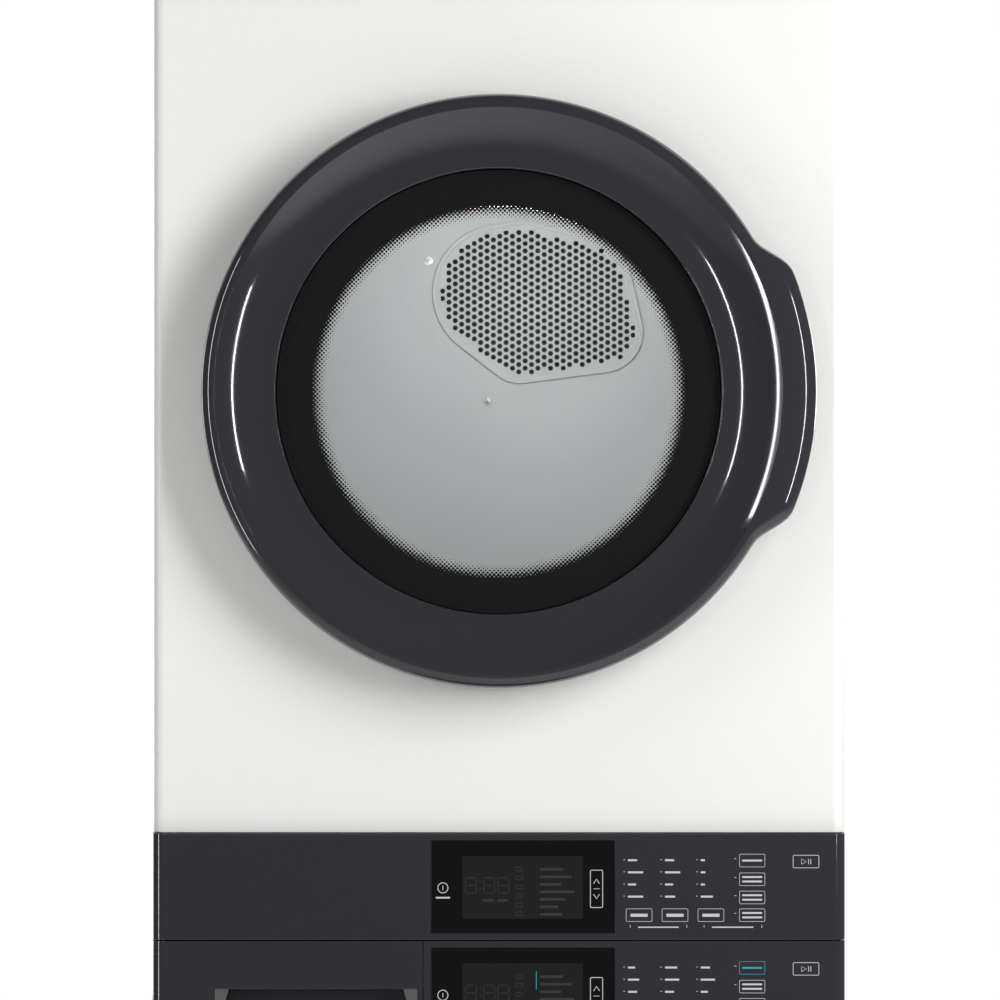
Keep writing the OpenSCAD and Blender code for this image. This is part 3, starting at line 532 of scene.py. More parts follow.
def turned(name, centre, outline, steps=160):
    """Spins a closed outline of (radius, y) points about the Y axis through centre."""
    bpy.ops.object.select_all(action="DESELECT")
    bpy.ops.mesh.primitive_circle_add(vertices=len(outline), radius=1, fill_type="NOTHING")
    made = bpy.context.object
    made.name = name
    made.location = (0, 0, 0)
    for vertex, (radius, y) in zip(made.data.vertices, outline):
        vertex.co = (centre.x + radius, y, centre.z)
    edit(made)
    bpy.ops.mesh.spin(steps=steps, angle=2 * math.pi, center=(centre.x, 0, centre.z),
                      axis=(0, 1, 0))
    close()
    outward(made)
    return made


def joined(name, parts):
    """Several objects as one."""
    bpy.ops.object.select_all(action="DESELECT")
    for part in parts:
        part.select_set(True)
    bpy.context.view_layer.objects.active = parts[0]
    if len(parts) > 1:
        bpy.ops.object.join()
    made = bpy.context.object
    made.name = name
    return made


def cut(obj, cutter):
    """Takes a cutter's shape out of an object and deletes the cutter."""
    apply_modifier(obj, "BOOLEAN", operation="DIFFERENCE", object=cutter, solver="EXACT")
    bpy.data.objects.remove(cutter, do_unlink=True)


def arc(centre, radius, start, end, steps):
    """Points on an arc, with angles in degrees."""
    return [(centre[0] + radius * math.cos(math.radians(start + (end - start) * i / steps)),
             centre[1] + radius * math.sin(math.radians(start + (end - start) * i / steps)))
            for i in range(steps + 1)]


# ---------------------------------------------------------------- doors

def door_ring(door):
    """The moulded outer ring: a dished face, a rounded rim and a grip that swells out."""
    front, back = door.front, door.back
    crest = door.ring_r - 13 * MM
    inner = door.glass_r + 0.6 * MM
    wall = 4 * MM
    dish_depth = 19.5 * MM
    dish = []
    steps = 22
    for i in range(steps + 1):
        t = i / steps
        dish.append((inner + 2 * MM + (crest - inner - 3 * MM) * t,
                     front + dish_depth * (1 - t ** 2.1) + 0.4 * MM))
    crown = arc((crest - 0.5 * MM, front + 1.6 * MM), 1.6 * MM, -110, -70, 4)
    rim = []
    depth = 14 * MM
    width = door.ring_r - crest
    rim_steps = 12
    for i in range(1, rim_steps + 1):
        t = math.radians(90 * i / rim_steps)
        rim.append((crest + width * math.sin(t), front + depth * (1 - math.cos(t))))
    shelf = front + 33 * MM
    outer = [(door.ring_r, shelf + rise * MM) for rise in (-6, 0, 1, 4)]
    outer += [(door.ring_r, back - 1 * MM), (door.ring_r - 0.3 * MM, back - 0.3 * MM),
              (door.ring_r - 1 * MM, back)]
    inside = [(door.ring_r - wall, back), (door.ring_r - wall, front + 20 * MM),
              (crest, front + 8 * MM), (crest - 30 * MM, front + 16 * MM),
              (inner + 6 * MM, front + 27 * MM), (inner + 6 * MM, back - 2.6 * MM),
              (inner, back - 2.6 * MM), (inner, front + 22 * MM),
              (inner + 0.3 * MM, front + 20.6 * MM), (inner + 1 * MM, front + 20 * MM)]
    made = turned(door.kind + "_ring", door.centre, dish + crown + rim + outer + inside, 288)
    swell_rim(made, door, crest, shelf)
    notch_half = 34 * MM
    notch_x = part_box("hinge_brackets")[1].x - 4 * MM
    cut(made, block("notch", (-door.ring_r - 5 * MM, front + 24 * MM, door.centre.z - notch_half),
                    (notch_x, back + 1 * MM, door.centre.z + notch_half)))
    shade(made, 40)
    stand_in(made, finish(gloss_abs), door.kind + "_door_ring")


def swell_rim(made, door, crest, shelf):
    """Pushes the rim out into the grip, most in its middle and none past its ends."""
    half, blend = 31, 9
    rim_depth = 14 * MM
    bulge, bulge_depth = 2.4 * MM, 6 * MM
    for vertex in made.data.vertices:
        x = vertex.co.x
        z = vertex.co.z - door.centre.z
        radius = math.hypot(x, z)
        angle = abs(math.degrees(math.atan2(z, x)))
        if radius <= crest + 0.1 * MM or angle >= half or vertex.co.y > shelf + 2 * MM:
            continue
        inside_wall = radius < door.ring_r - 3.9 * MM
        if inside_wall and vertex.co.y > door.front + rim_depth + 0.5 * MM:
            continue
        t = min((half - angle) / blend, 1)
        out = door.grip_out * t * t * (3 - 2 * t)
        share = min((radius - crest) / (door.ring_r - crest), 1)
        grown = radius + out * share
        vertex.co.x = x * grown / radius
        vertex.co.z = door.centre.z + z * grown / radius
        flat = share * (1 - share) * 4
        if vertex.co.y < door.front + rim_depth:
            depth = min(vertex.co.y - door.front, bulge_depth)
            vertex.co.y -= bulge * flat * t * depth / bulge_depth


def door_pane(door):
    """The outer pane: a shallow dome with a ground edge."""
    rim_y = door.front + 29 * MM
    crown_y = door.front + 24 * MM
    radius = door.glass_r
    thick = 4.4 * MM
    drop = rim_y - crown_y
    face = [(radius * t, crown_y + drop * t * t) for t in [i / 14 for i in range(15)]]
    face[-1] = (radius - 0.5 * MM, rim_y)
    back = [(r, y + thick) for r, y in reversed(face)]
    edge = [(radius, rim_y + 0.5 * MM), (radius, rim_y + thick - 0.5 * MM)]
    made = turned(door.kind + "_pane", door.centre, face + edge + back, 192)
    shade(made, 30)
    return made


def bowl(door):
    """The washer's inner pane: a deep glass bowl with a flat lip."""
    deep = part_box("washer_door_glass")[1].y
    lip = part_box("washer_door_inner")[0].y + 11 * MM
    radius = door.glass_r - 44.4 * MM
    side, floor_thick = 7 * MM, 5 * MM
    outer = smooth_line([(0.0, deep - 1 * MM), (90 * MM, deep - 4 * MM),
                         (radius - 32 * MM, deep - 22 * MM),
                         (radius - 12 * MM, deep - 54 * MM), (radius, lip + 8 * MM)])
    inner = [(max(r - side, 0.0), y - floor_thick) for r, y in reversed(outer)]
    made = turned("washer_bowl", door.centre,
                  outer + [(radius, lip), (radius - side, lip)] + inner, 144)
    shade(made, 40)
    return made


def door_glasses():
    """Both doors' panes, the washer's with its bowl."""
    for door in (DRYER_DOOR, WASHER_DOOR):
        panes = [door_pane(door)]
        if door.kind == "washer":
            panes.append(bowl(door))
        stand_in(joined(door.kind + "_door_panes", panes), finish(door_glass, door),
                 door.kind + "_door_glass")


def door_frames():
    """Inner frames, hinge leaves, catches and the dryer's seal."""
    for door in (DRYER_DOOR, WASHER_DOOR):
        softened(door.kind + "_door_inner", finish(grey_polypropylene), 1.2 * MM)
        softened(door.kind + "_door_hardware", finish(zinc_plated_steel), 0.5 * MM)
    softened("hinge_brackets", finish(zinc_plated_steel), 0.5 * MM)
    softened("door_catches", finish(black_nylon), 0.8 * MM)
    low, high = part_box("dryer_door_seal")
    outer_r, inner_r = high.x, high.x - 10 * MM
    depth = high.y - low.y
    lips = arc((outer_r - depth / 2, (low.y + high.y) / 2), depth / 2, -90, 90, 8)
    lips += arc((inner_r + depth / 2, (low.y + high.y) / 2), depth / 2, 90, 270, 8)
    seal = turned("dryer_seal", middle("dryer_door_seal"), lips, 144)
    shade(seal, 40)
    stand_in(seal, finish(felt_seal), "dryer_door_seal")


def smooth_line(points):
    """A smooth curve through points, by their neighbours' slopes."""
    steps = 7
    ends = [points[0], *points, points[-1]]
    line = []
    for before, start, end, after in zip(ends, ends[1:], ends[2:], ends[3:]):
        for i in range(steps):
            t = i / steps
            line.append(tuple(
                0.5 * (2 * b + (c - a) * t + (2 * a - 5 * b + 4 * c - d) * t * t
                       + (3 * b - a - 3 * c + d) * t ** 3)
                for a, b, c, d in zip(before, start, end, after)))
    return line + [points[-1]]


# ---------------------------------------------------------------- cabinet

def white_panels():
    """The painted panels, their edges rounded as the coat leaves them."""
    for node, width in (("washer_sides", 0.7), ("dryer_sides", 0.7), ("top_panel", 2.0),
                        ("washer_front_panel", 0.9), ("dryer_front_panel", 0.9),
                        ("toe_panel", 0.9)):
        softened(node, finish(powder_coated_steel), width * MM)


def screw_head(name, centre, face_y, radius):
    """A low round screw head on a face towards +Y, with a six-sided recess and a washer."""
    high = 2.2 * MM
    head = rod_y(name, centre, face_y, face_y + high, radius, 24)
    soften(head, 0.4 * high, 3, 40)
    cut(head, rod_y("recess", centre, face_y + 0.45 * high, face_y + 2 * high,
                    0.42 * radius, 6))
    ring = rod_y(name + "_washer", centre, face_y, face_y + 0.3 * high, 1.5 * radius, 28)
    soften(ring, 0.1 * high, 1, 40)
    return joined(name, [head, ring])


def repeated(model, name, places):
    """Copies of a model at places across X and Z, joined with it."""
    parts = []
    for x, z in places:
        part = model.copy()
        part.data = model.data.copy()
        bpy.context.scene.collection.objects.link(part)
        part.location = (x, 0, z)
        settle(part)
        parts.append(part)
    bpy.data.objects.remove(model, do_unlink=True)
    return joined(name, parts)


def rear():
    """The rear panels with their row of screws."""
    softened("rear_panels", finish(galvanised_steel), 0.5 * MM, 1)
    low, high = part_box("rear_panels")
    edge, end, count = high.x - 5.5 * MM, 30 * MM, 10
    gap = (high.z - low.z - 2 * end) / (count - 1)
    rows = [low.z + end + i * gap for i in range(count)]
    places = [(side * edge, z) for side in (-1, 1) for z in rows]
    screws = repeated(screw_head("rear_screw", (0, 0), high.y - 0.1 * MM, 3.2 * MM),
                      "rear_screws", places)
    shade(screws, 30)
    place(screws, finish(zinc_plated_steel), "cabinet", "zinc_steel")
    softened("inlet_valves", finish(valve_plastic), 0.5 * MM)
    softened("exhaust_duct", finish(galvanised_steel), 0.4 * MM, 1)


def underside():
    """Base frame, feet and the pan between the two machines."""
    softened("base_frame", finish(galvanised_steel), 0.6 * MM, 1)
    softened("levelling_feet", finish(black_rubber), 1.2 * MM)
    softened("dryer_pan", finish(galvanised_steel), 0.4 * MM, 1)


# ---------------------------------------------------------------- control band

def band_shells():
    """Dryer fascia, washer fascia and the drawer's front."""
    for node in ("dryer_fascia", "washer_fascia", "drawer_front"):
        softened(node, finish(gloss_abs), 0.7 * MM)


def drawer_cheeks():
    """Chrome cheeks that slope into the grip pocket, wide above and narrow below."""
    low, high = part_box("drawer_trim")
    reach, foot, edge = 14 * MM, 2 * MM, 0.4 * MM
    corner = 3 * MM
    parts = []
    for near, far in ((low.x, low.x + reach), (high.x, high.x - reach)):
        cheek = block("cheek", (min(near, far), low.y, low.z), (max(near, far), high.y, high.z))
        for vertex in cheek.data.vertices:
            if abs(vertex.co.x - far) < 0.1 * MM:
                vertex.co.y = high.y - (edge if vertex.co.y < low.y + corner / 2 else 0)
                if vertex.co.z < low.z + corner:
                    vertex.co.x = near + math.copysign(foot, far - near)
        soften(cheek, 0.3 * MM, 2, 20)
        parts.append(cheek)
    stand_in(joined("pocket_cheeks", parts), finish(chrome_plate), "drawer_trim")


def rounded_plate(name, centre, width, height, radius, y, thick):
    """A thin plate with rounded corners, facing -Y."""
    outline = []
    for sx, sz, start in ((1, 1, 0), (-1, 1, 90), (-1, -1, 180), (1, -1, 270)):
        corner = (centre[0] + sx * (width / 2 - radius), centre[1] + sz * (height / 2 - radius))
        outline += arc(corner, radius, start, start + 90, 4)
    return plate(name, outline, y, thick)


def plate(name, outline, y, thick):
    """A flat outline of (x, z) points raised along +Y."""
    bpy.ops.object.select_all(action="DESELECT")
    bpy.ops.mesh.primitive_circle_add(vertices=len(outline), radius=1, fill_type="NGON")
    made = bpy.context.object
    made.name = name
    made.location = (0, 0, 0)
    for vertex, (x, z) in zip(made.data.vertices, outline):
        vertex.co = (x, y, z)
    edit(made)
    bpy.ops.mesh.extrude_region_move(TRANSFORM_OT_translate={"value": (0, thick, 0)})
    close()
    outward(made)
    return made


def frame_mark(name, centre, width, height, line, y, thick):
    """A printed outline: a rounded plate with its middle taken out."""
    radius = 1.4 * MM
    made = rounded_plate(name, centre, width, height, radius, y, thick)
    edit(made, "DESELECT")
    bpy.ops.mesh.select_mode(type="FACE")
    close()
    for face in made.data.polygons:
        face.select = abs(face.normal.y) > 0.9
    only(made)
    bpy.ops.object.mode_set(mode="EDIT")
    bpy.ops.mesh.inset(thickness=line, use_individual=True)
    bpy.ops.mesh.bridge_edge_loops()
    close()
    return made


def stroke(name, points, line, y, thick):
    """A printed line through points, as one plate of even width."""
    left, right = [], []
    for i, (x, z) in enumerate(points):
        before = points[max(i - 1, 0)]
        after = points[min(i + 1, len(points) - 1)]
        along = Vector((after[0] - before[0], after[1] - before[1])).normalized()
        left.append((x - along.y * line / 2, z + along.x * line / 2))
        right.append((x + along.y * line / 2, z - along.x * line / 2))
    return plate(name, left + right[::-1], y, thick)


# widths of the printed bars that stand for words, in mm, for each row of a half
WORD_ROWS = (((9, 9, 4), (15, 15, 4.5), (8, 8, 4), (15, 10, 12)),
             ((7, 12, 9), (11, 14, 14), (9, 9, 7), (12, 11, 9)))
WORD_COLUMNS = (128, 164.6, 200)
ROW_DROPS = (26, 38, 50, 62)
PAD_COLUMNS = (139, 174.5, 210)
SIDE_PADS = (26.5, 45, 63, 80.5)


class Print:
    """Thin marks on one half of the band, in mm: x from its middle, drops from its top edge."""

    def __init__(self, top, y, thick):
        self.top = top
        self.y = y
        self.thick = thick * MM

    def spot(self, x, drop):
        """A place as x and z."""
        return x * MM, self.top - drop * MM

    def bar(self, name, x, drop, width, height):
        """A bar, its lower left corner at x and drop."""
        x, z = self.spot(x, drop)
        return block(name, (x, self.y, z),
                     (x + width * MM, self.y + self.thick, z + height * MM))

    def outline(self, name, x, drop, width, height, line):
        """A rounded outline about its middle."""
        return frame_mark(name, self.spot(x, drop), width * MM, height * MM, line * MM, self.y,
                          self.thick)

    def line(self, name, points, line):
        """A line through points of (x, drop)."""
        return stroke(name, [self.spot(*point) for point in points], line * MM, self.y,
                      self.thick)


def half_marks(top, words, accent, y):
    """One half's printed marks: rows of bars, outlined pads and the start pad."""
    ink = Print(top, y, 0.06)
    pale, teal = [], []
    for drop, row in zip(ROW_DROPS, words):
        for x, width in zip(WORD_COLUMNS, row):
            pale.append(ink.bar("word", x, drop + 1.1, width, 1.9))
            pale.append(ink.bar("dash", x - 4.6, drop - 0.1, 1.8, 0.5))
    for x in PAD_COLUMNS:
        pale.append(ink.outline("pad", x, 80.5, 26, 13, 0.45))
        pale.append(ink.bar("pad_word", x - 8.5, 82.1, 17, 3))
    for i, drop in enumerate(SIDE_PADS):
        marks = teal if accent and i == 0 else pale
        marks.append(ink.outline("side_pad", 250.8, drop, 25.5, 13, 0.45))
        for rise in ((0,) if i == 0 else (-2.2, 2.2)):
            marks.append(ink.bar("side_word", 241, drop - rise + 0.9, 19.6, 1.8))
        pale.append(ink.bar("side_dash", 233, drop - 1.6, 2.2, 0.5))
    pale.append(ink.outline("start_pad", 304, 27.5, 26, 13, 0.6))
    pale.append(ink.line("start_arrow", [(299.5, 30.1), (299.5, 24.9), (304.4, 27.5),
                                         (299.9, 30.1)], 0.5))
    for x in (306.2, 308.4):
        pale.append(ink.bar("start_bar", x, 30.1, 0.7, 5.2))
    for x0, x1 in ((130, 186), (203, 260)):
        pale.append(ink.bar("hold_word", x0 + 8, 93, x1 - x0 - 16, 1.2))
        for x in (x0, x1):
            pale.append(ink.bar("hold_tick", x, 93, 0.5, 3))
    return pale, teal


def glass_marks(top, y):
    """What is printed on a display glass: the power mark and the box with two chevrons."""
    ink = Print(top, y, 0.06)
    power_x, power_drop, reach = -55, 53.5, 5
    ring = [(power_x + reach * math.cos(math.radians(a)),
             power_drop - reach * math.sin(math.radians(a))) for a in range(0, 361, 12)]
    parts = [ink.line("power_ring", ring, 0.8),
             ink.bar("power_bar", power_x - 0.35, power_drop + 2.2, 0.7, 4.4),
             ink.bar("power_word", power_x - 7, power_drop + 10.5, 14, 1.6),
             ink.outline("arrow_box", 96.9, 54.5, 12.8, 37.6, 0.7),
             ink.bar("arrow_rule", 93.8, 54.6, 6.2, 0.5)]
    for drop, rise in ((47, 4.4), (62, -4.4)):
        tip, foot = drop - rise / 2, drop + rise / 2
        parts.append(ink.line("chevron", [(94, foot), (96.9, tip), (99.8, foot)], 0.8))
    return parts


def lcd_marks(top, y):
    """Unlit segments and icons, barely lighter than the window."""
    ink = Print(top, y, 0.04)
    parts = []
    for left in (-33, -15, -1):
        for k in (0, 1, 2):
            parts.append(ink.bar("segment", left + 1.2, 44 + 7.5 * k, 9, 0.7))
        for x in (left, left + 10.8):
            for k in (0, 1):
                parts.append(ink.bar("segment", x, 50.6 + 7.5 * k, 0.7, 6))
    for k in (0, 1):
        parts.append(ink.bar("colon", -18.4, 48 + 7 * k, 1.1, 1.1))
    parts.append(ink.bar("lcd_word", -16, 67, 12, 2.4))
    parts.append(ink.bar("lcd_word", -1, 67, 10, 2.4))
    for k, width in enumerate((23, 31, 21, 34, 25, 18, 22)):
        parts.append(ink.bar("list_row", 41, 36.5 + 7.4 * k, width, 2.6))
    for k in range(6):
        parts.append(ink.outline("icon", 20.5, 35 + 8.8 * k, 7, 4.2, 0.6))
    return parts


def displays():
    """Glasses, the windows behind them and everything printed."""
    softened("display_glasses", finish(display_glass), 0.5 * MM)
    softened("control_boards", finish(circuit_laminate), 0.2 * MM, 1)
    glass_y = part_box("display_glasses")[0].y
    proud = 0.06 * MM
    skin_y = BAND_FRONT - proud
    pale, teal, faint, windows = [], [], [], []
    for top, words, accent in zip(HALF_TOPS, WORD_ROWS, (False, True)):
        made = half_marks(top, words, accent, skin_y)
        pale += made[0] + glass_marks(top, glass_y - proud)
        teal += made[1]
        windows.append(rounded_plate("window", (23.75 * MM, top - 53 * MM), 119.5 * MM, 62 * MM,
                                     0.8 * MM, glass_y - 0.05 * MM, 0.05 * MM))
        faint += lcd_marks(top, glass_y - 0.09 * MM)
        if accent:
            cursor = Print(top, glass_y - 0.1 * MM, 0.04)
            teal.append(cursor.bar("cursor", 37, 48, 0.7, 18))
    for name, parts, ink in (
            ("printed_marks", pale, finish(printed_ink, "pale_ink", "#C9CACC", "#BDBEC1")),
            ("printed_accents", teal, finish(printed_ink, "teal_ink", "#3E9DB4", "#378FA5")),
            ("lcd_marks", faint, finish(printed_ink, "unlit_segments", "#2F2F31", "#2B2B2D")),
            ("lcd_windows", windows, finish(lcd_window))):
        place(joined(name, parts), ink, "cabinet", "black_glass")


# ---------------------------------------------------------------- dryer inside

def dryer_drum():
    """The drum's wall with two rolled beads."""
    low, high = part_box("dryer_drum")
    radius = high.x
    wall = 1.5 * MM
    steps = 90
    outside = []
    for i in range(steps + 1):
        y = low.y + (high.y - low.y) * i / steps
        dip = sum(2.2 * MM * math.exp(-((y - bead) / (6 * MM)) ** 2)
                  for bead in (low.y + 40 * MM, high.y - 40 * MM))
        outside.append((radius - dip, y))
    inside = [(r - wall, y) for r, y in reversed(outside)]
    made = turned("dryer_drum_wall", middle("dryer_drum"), outside + inside, 160)
    shade(made, 40)
    stand_in(made, finish(drum_enamel), "dryer_drum")
    softened("dryer_baffles", finish(drum_plastic), 6 * MM, 5, 25)


def hull_of(circles, grow=0.0):
    """The outline around circles of (x, z, radius), in order."""
    points = []
    for x, z, radius in circles:
        points += [(x + (radius + grow) * math.cos(math.radians(a)),
                    z + (radius + grow) * math.sin(math.radians(a))) for a in range(0, 360, 5)]
    return [points[i] for i in geometry.convex_hull_2d(points)]


GRILLE_LOBES = ((-42, 10, 76), (-20, 28, 62), (48, 16, 58), (72, -34, 46), (-20, -50, 42))


def air_grille():
    """The grille: a rounded patch with a raised rim and a leaning field of small holes."""
    low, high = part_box("air_grille")
    left = min(x - radius for x, z, radius in GRILLE_LOBES)
    bottom = min(z - radius for x, z, radius in GRILLE_LOBES)
    lobes = [((x - left) * MM + low.x, (z - bottom) * MM + low.z, radius * MM)
             for x, z, radius in GRILLE_LOBES]
    face = low.y + 1.4 * MM
    body = plate("grille", hull_of(lobes, -0.6 * MM), face, high.y - face)
    rim = plate("grille_rim", hull_of(lobes, -0.1 * MM), low.y, 1.6 * MM)
    cut(rim, plate("rim_cut", hull_of(lobes, -5 * MM), low.y - 5 * MM, 10 * MM))
    soften(rim, 0.6 * MM, 3, 40)
    pitch = sizes().grille_pitch
    radius = sizes().grille_hole / 2
    drill = rod_y("drill", (0, 0), face - 5 * MM, high.y + 5 * MM, radius, 10)
    spread = 34
    lean = math.radians(30)
    margin = 8 * MM
    places = []
    edge = hull_of(lobes, -margin - radius)
    for i in range(-spread, spread):
        for j in range(-spread, spread):
            u = (i + (0.5 if j % 2 else 0)) * pitch
            v = j * pitch * math.sqrt(3) / 2
            x = (low.x + high.x) / 2 + u * math.cos(lean) - v * math.sin(lean)
            z = (low.z + high.z) / 2 + u * math.sin(lean) + v * math.cos(lean)
            if holds(edge, x, z):
                places.append((x, z))
    cut(body, repeated(drill, "drills", places))
    made = joined("air_grille_plate", [body, rim])
    shade(made, 35)
    stand_in(made, finish(drum_enamel), "air_grille")


def holds(outline, x, z):
    """Whether a convex outline holds a point."""
    turns = []
    for (x0, z0), (x1, z1) in zip(outline, outline[1:] + outline[:1]):
        turns.append((x1 - x0) * (z - z0) - (z1 - z0) * (x - x0) > 0)
    return all(turns) or not any(turns)


def rear_wall():
    """The dryer's rear wall, its grille screws and the filter chute."""
    softened("rear_bulkhead", finish(drum_enamel), 0.6 * MM, 2)
    softened("front_bulkhead", finish(drum_enamel), 0.6 * MM, 2)
    low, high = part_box("grille_screws")
    radius = 5 * MM
    heads = []
    for x, z in ((low.x + radius, high.z - radius), (high.x - radius, low.z + radius)):
        head = rod_y("grille_screw", (x, z), low.y, high.y, 2.6 * MM, 24)
        soften(head, 0.5 * MM, 3, 40)
        cut(head, rod_y("recess", (x, z), low.y - 5 * MM, low.y + 1.2 * MM, 1.3 * MM, 6))
        ring = rod_y("grille_washer", (x, z), low.y + 1.6 * MM, high.y, radius, 28)
        soften(ring, 0.3 * MM, 2, 40)
        heads += [head, ring]
    screws = joined("grille_screw_heads", heads)
    shade(screws, 30)
    stand_in(screws, finish(zinc_plated_steel), "grille_screws")
    softened("lint_filter", finish(grey_polypropylene), 0.9 * MM)


# ---------------------------------------------------------------- washer inside

def wash_drum():
    """The stainless drum: a punched wall with rounded ends and a pressed rear face."""
    low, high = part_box("washer_drum")
    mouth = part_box("washer_gasket")[1].x - 12 * MM
    radius = high.x
    wall = 1.2 * MM
    turn = 9 * MM
    front = [(mouth, low.y + 1 * MM), (mouth + 1 * MM, low.y)]
    front += arc((radius - turn, low.y + turn), turn, -90, 0, 8)
    rear_turn = arc((radius - turn, high.y - turn), turn, 0, 90, 8)
    rear_face = [(radius * 0.72, high.y - 0.2 * MM), (radius * 0.66, high.y - 7 * MM),
                 (radius * 0.4, high.y - 7 * MM), (radius * 0.34, high.y - 0.2 * MM),
                 (0.0, high.y - 0.2 * MM)]
    outside = front + rear_turn + rear_face
    inside = [(0.0, high.y - 1.4 * MM), (radius * 0.34, high.y - 1.4 * MM),
              (radius * 0.4, high.y - 8.2 * MM), (radius * 0.66, high.y - 8.2 * MM),
              (radius * 0.72, high.y - 1.4 * MM)]
    inside += arc((radius - turn, high.y - turn), turn - wall, 90, 0, 8)
    inside += arc((radius - turn, low.y + turn), turn - wall, 0, -90, 8)
    inside += [(mouth + 1 * MM, low.y + 2 * MM)]
    made = turned("wash_drum_shell", middle("washer_drum"), outside + inside, 144)
    shade(made, 30)
    stand_in(made, finish(stainless_drum), "washer_drum")
    softened("washer_lifters", finish(drum_plastic), 6 * MM, 5, 25)


def gasket():
    """The door gasket: one moulded bellows with an even wall."""
    low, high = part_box("washer_gasket")
    mouth = high.x - 12 * MM
    front = low.y
    line = smooth_line([(mouth + 2 * MM, front + 3 * MM), (mouth + 2 * MM, front + 10 * MM),
                        (mouth - 6 * MM, front + 16 * MM), (mouth + 7 * MM, front + 32 * MM),
                        (mouth - 6 * MM, front + 48 * MM), (mouth + 2 * MM, front + 60 * MM),
                        (mouth + 2 * MM, high.y - 3 * MM)])
    half = 2.6 * MM
    outside, inside = [], []
    for i, (r, y) in enumerate(line):
        before, after = line[max(i - 1, 0)], line[min(i + 1, len(line) - 1)]
        along = Vector((after[0] - before[0], after[1] - before[1])).normalized()
        outside.append((r + along.y * half, y - along.x * half))
        inside.append((r - along.y * half, y + along.x * half))
    made = turned("door_gasket", middle("washer_gasket"), outside + inside[::-1], 144)
    shade(made, 60)
    stand_in(made, finish(grey_rubber), "washer_gasket")


# the nodes that keep their shape, with the maker of each finish
INNER_FINISHES = {
    "drawer_tray": grey_polypropylene, "dispenser_housing": grey_polypropylene,
    "drum_roller_left": black_rubber, "drum_roller_right": black_rubber,
    "roller_shafts": zinc_plated_steel, "dryer_belt": black_rubber,
    "idler_pulley": black_nylon, "dryer_motor": lacquered_steel,
    "dryer_motor_shaft": zinc_plated_steel, "blower_wheel": black_nylon,
    # the heater box's near-black steel is painted shade behind the grille holes
    "heater_box": painted_shade_steel, "washer_tub": tub_polypropylene,
    "drum_shaft": cast_aluminium, "shaft_bearings": zinc_plated_steel,
    "washer_pulley": cast_aluminium, "washer_belt": black_rubber,
    "washer_motor": lacquered_steel, "washer_motor_pulley": zinc_plated_steel,
    "counterweights": cast_concrete, "tub_suspension": zinc_plated_steel,
    "drain_pump": black_nylon,
}


def machinery():
    """Finishes for what is inside, on the shapes that the frame gives."""
    for node, maker in INNER_FINISHES.items():
        softened(node, finish(maker), 0.5 * MM, 1, 35)


# ---------------------------------------------------------------- stage

def aimed(kind, name, location, target, energy, mirrored=True, **settings):
    """A lamp that points at a target; glossy surfaces mirror it or don't."""
    lamp = bpy.data.lights.new(name, kind)
    lamp.energy = energy
    for key, value in settings.items():
        setattr(lamp, key, value)
    holder = bpy.data.objects.new(name, lamp)
    holder.location = location
    holder.visible_glossy = mirrored
    aim = Vector(target) - Vector(location)
    holder.rotation_euler = aim.to_track_quat("-Z", "Y").to_euler()
    bpy.context.scene.collection.objects.link(holder)
    return holder


def soft_box(name, location, target, energy, width, height, mirrored=True):
    """A rectangular soft box."""
    return aimed("AREA", name, location, target, energy, mirrored, shape="RECTANGLE",
                 size=width, size_y=height)


def camera():
    """A long lens level with the dryer door, square to the front."""
    data = bpy.data.cameras.new("camera")
    distance, eye_height = 5.0, 1.3
    view_w, sensor_w = 0.991, 36
    data.sensor_width = sensor_w
    data.lens = sensor_w * distance / view_w
    data.shift_x = 0.0015
    data.shift_y = 0.049
    holder = bpy.data.objects.new("camera", data)
    holder.location = (0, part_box("dryer_front_panel")[0].y - distance, eye_height)
    holder.rotation_euler = (math.pi / 2, 0, 0)
    bpy.context.scene.collection.objects.link(holder)
    bpy.context.scene.camera = holder


def studio_paper():
    """Seamless paper: a pale matt sheet with a faint tooth."""
    return grained("seamless_paper", "#E9E9E7", "#E2E2E0", grain=6, rough=(0.8, 0.95),
                   bump=0.02)


def floor():
    """A wide sheet of pale paper on the ground."""
    bpy.ops.object.select_all(action="DESELECT")
    bpy.ops.mesh.primitive_plane_add(size=14, location=(0, 0, 0))
    sheet = bpy.context.object
    sheet.name = "floor"
    paint(sheet, finish(studio_paper))


def world_light():
    """Even white light, plain white where it is seen directly."""
    world = bpy.data.worlds.new("studio")
    world.use_nodes = True
    tree = world.node_tree
    tree.nodes.clear()
    seen = add(tree, "ShaderNodeLightPath")
    strength = add(tree, "ShaderNodeMapRange",
                   {"Value": seen.outputs["Is Camera Ray"], "To Min": 0.12, "To Max": 1.0})
    sky = add(tree, "ShaderNodeBackground",
              {"Color": (1, 1, 1, 1), "Strength": strength.outputs[0]})
    output = add(tree, "ShaderNodeOutputWorld")
    tree.links.new(sky.outputs[0], output.inputs["Surface"])
    bpy.context.scene.world = world


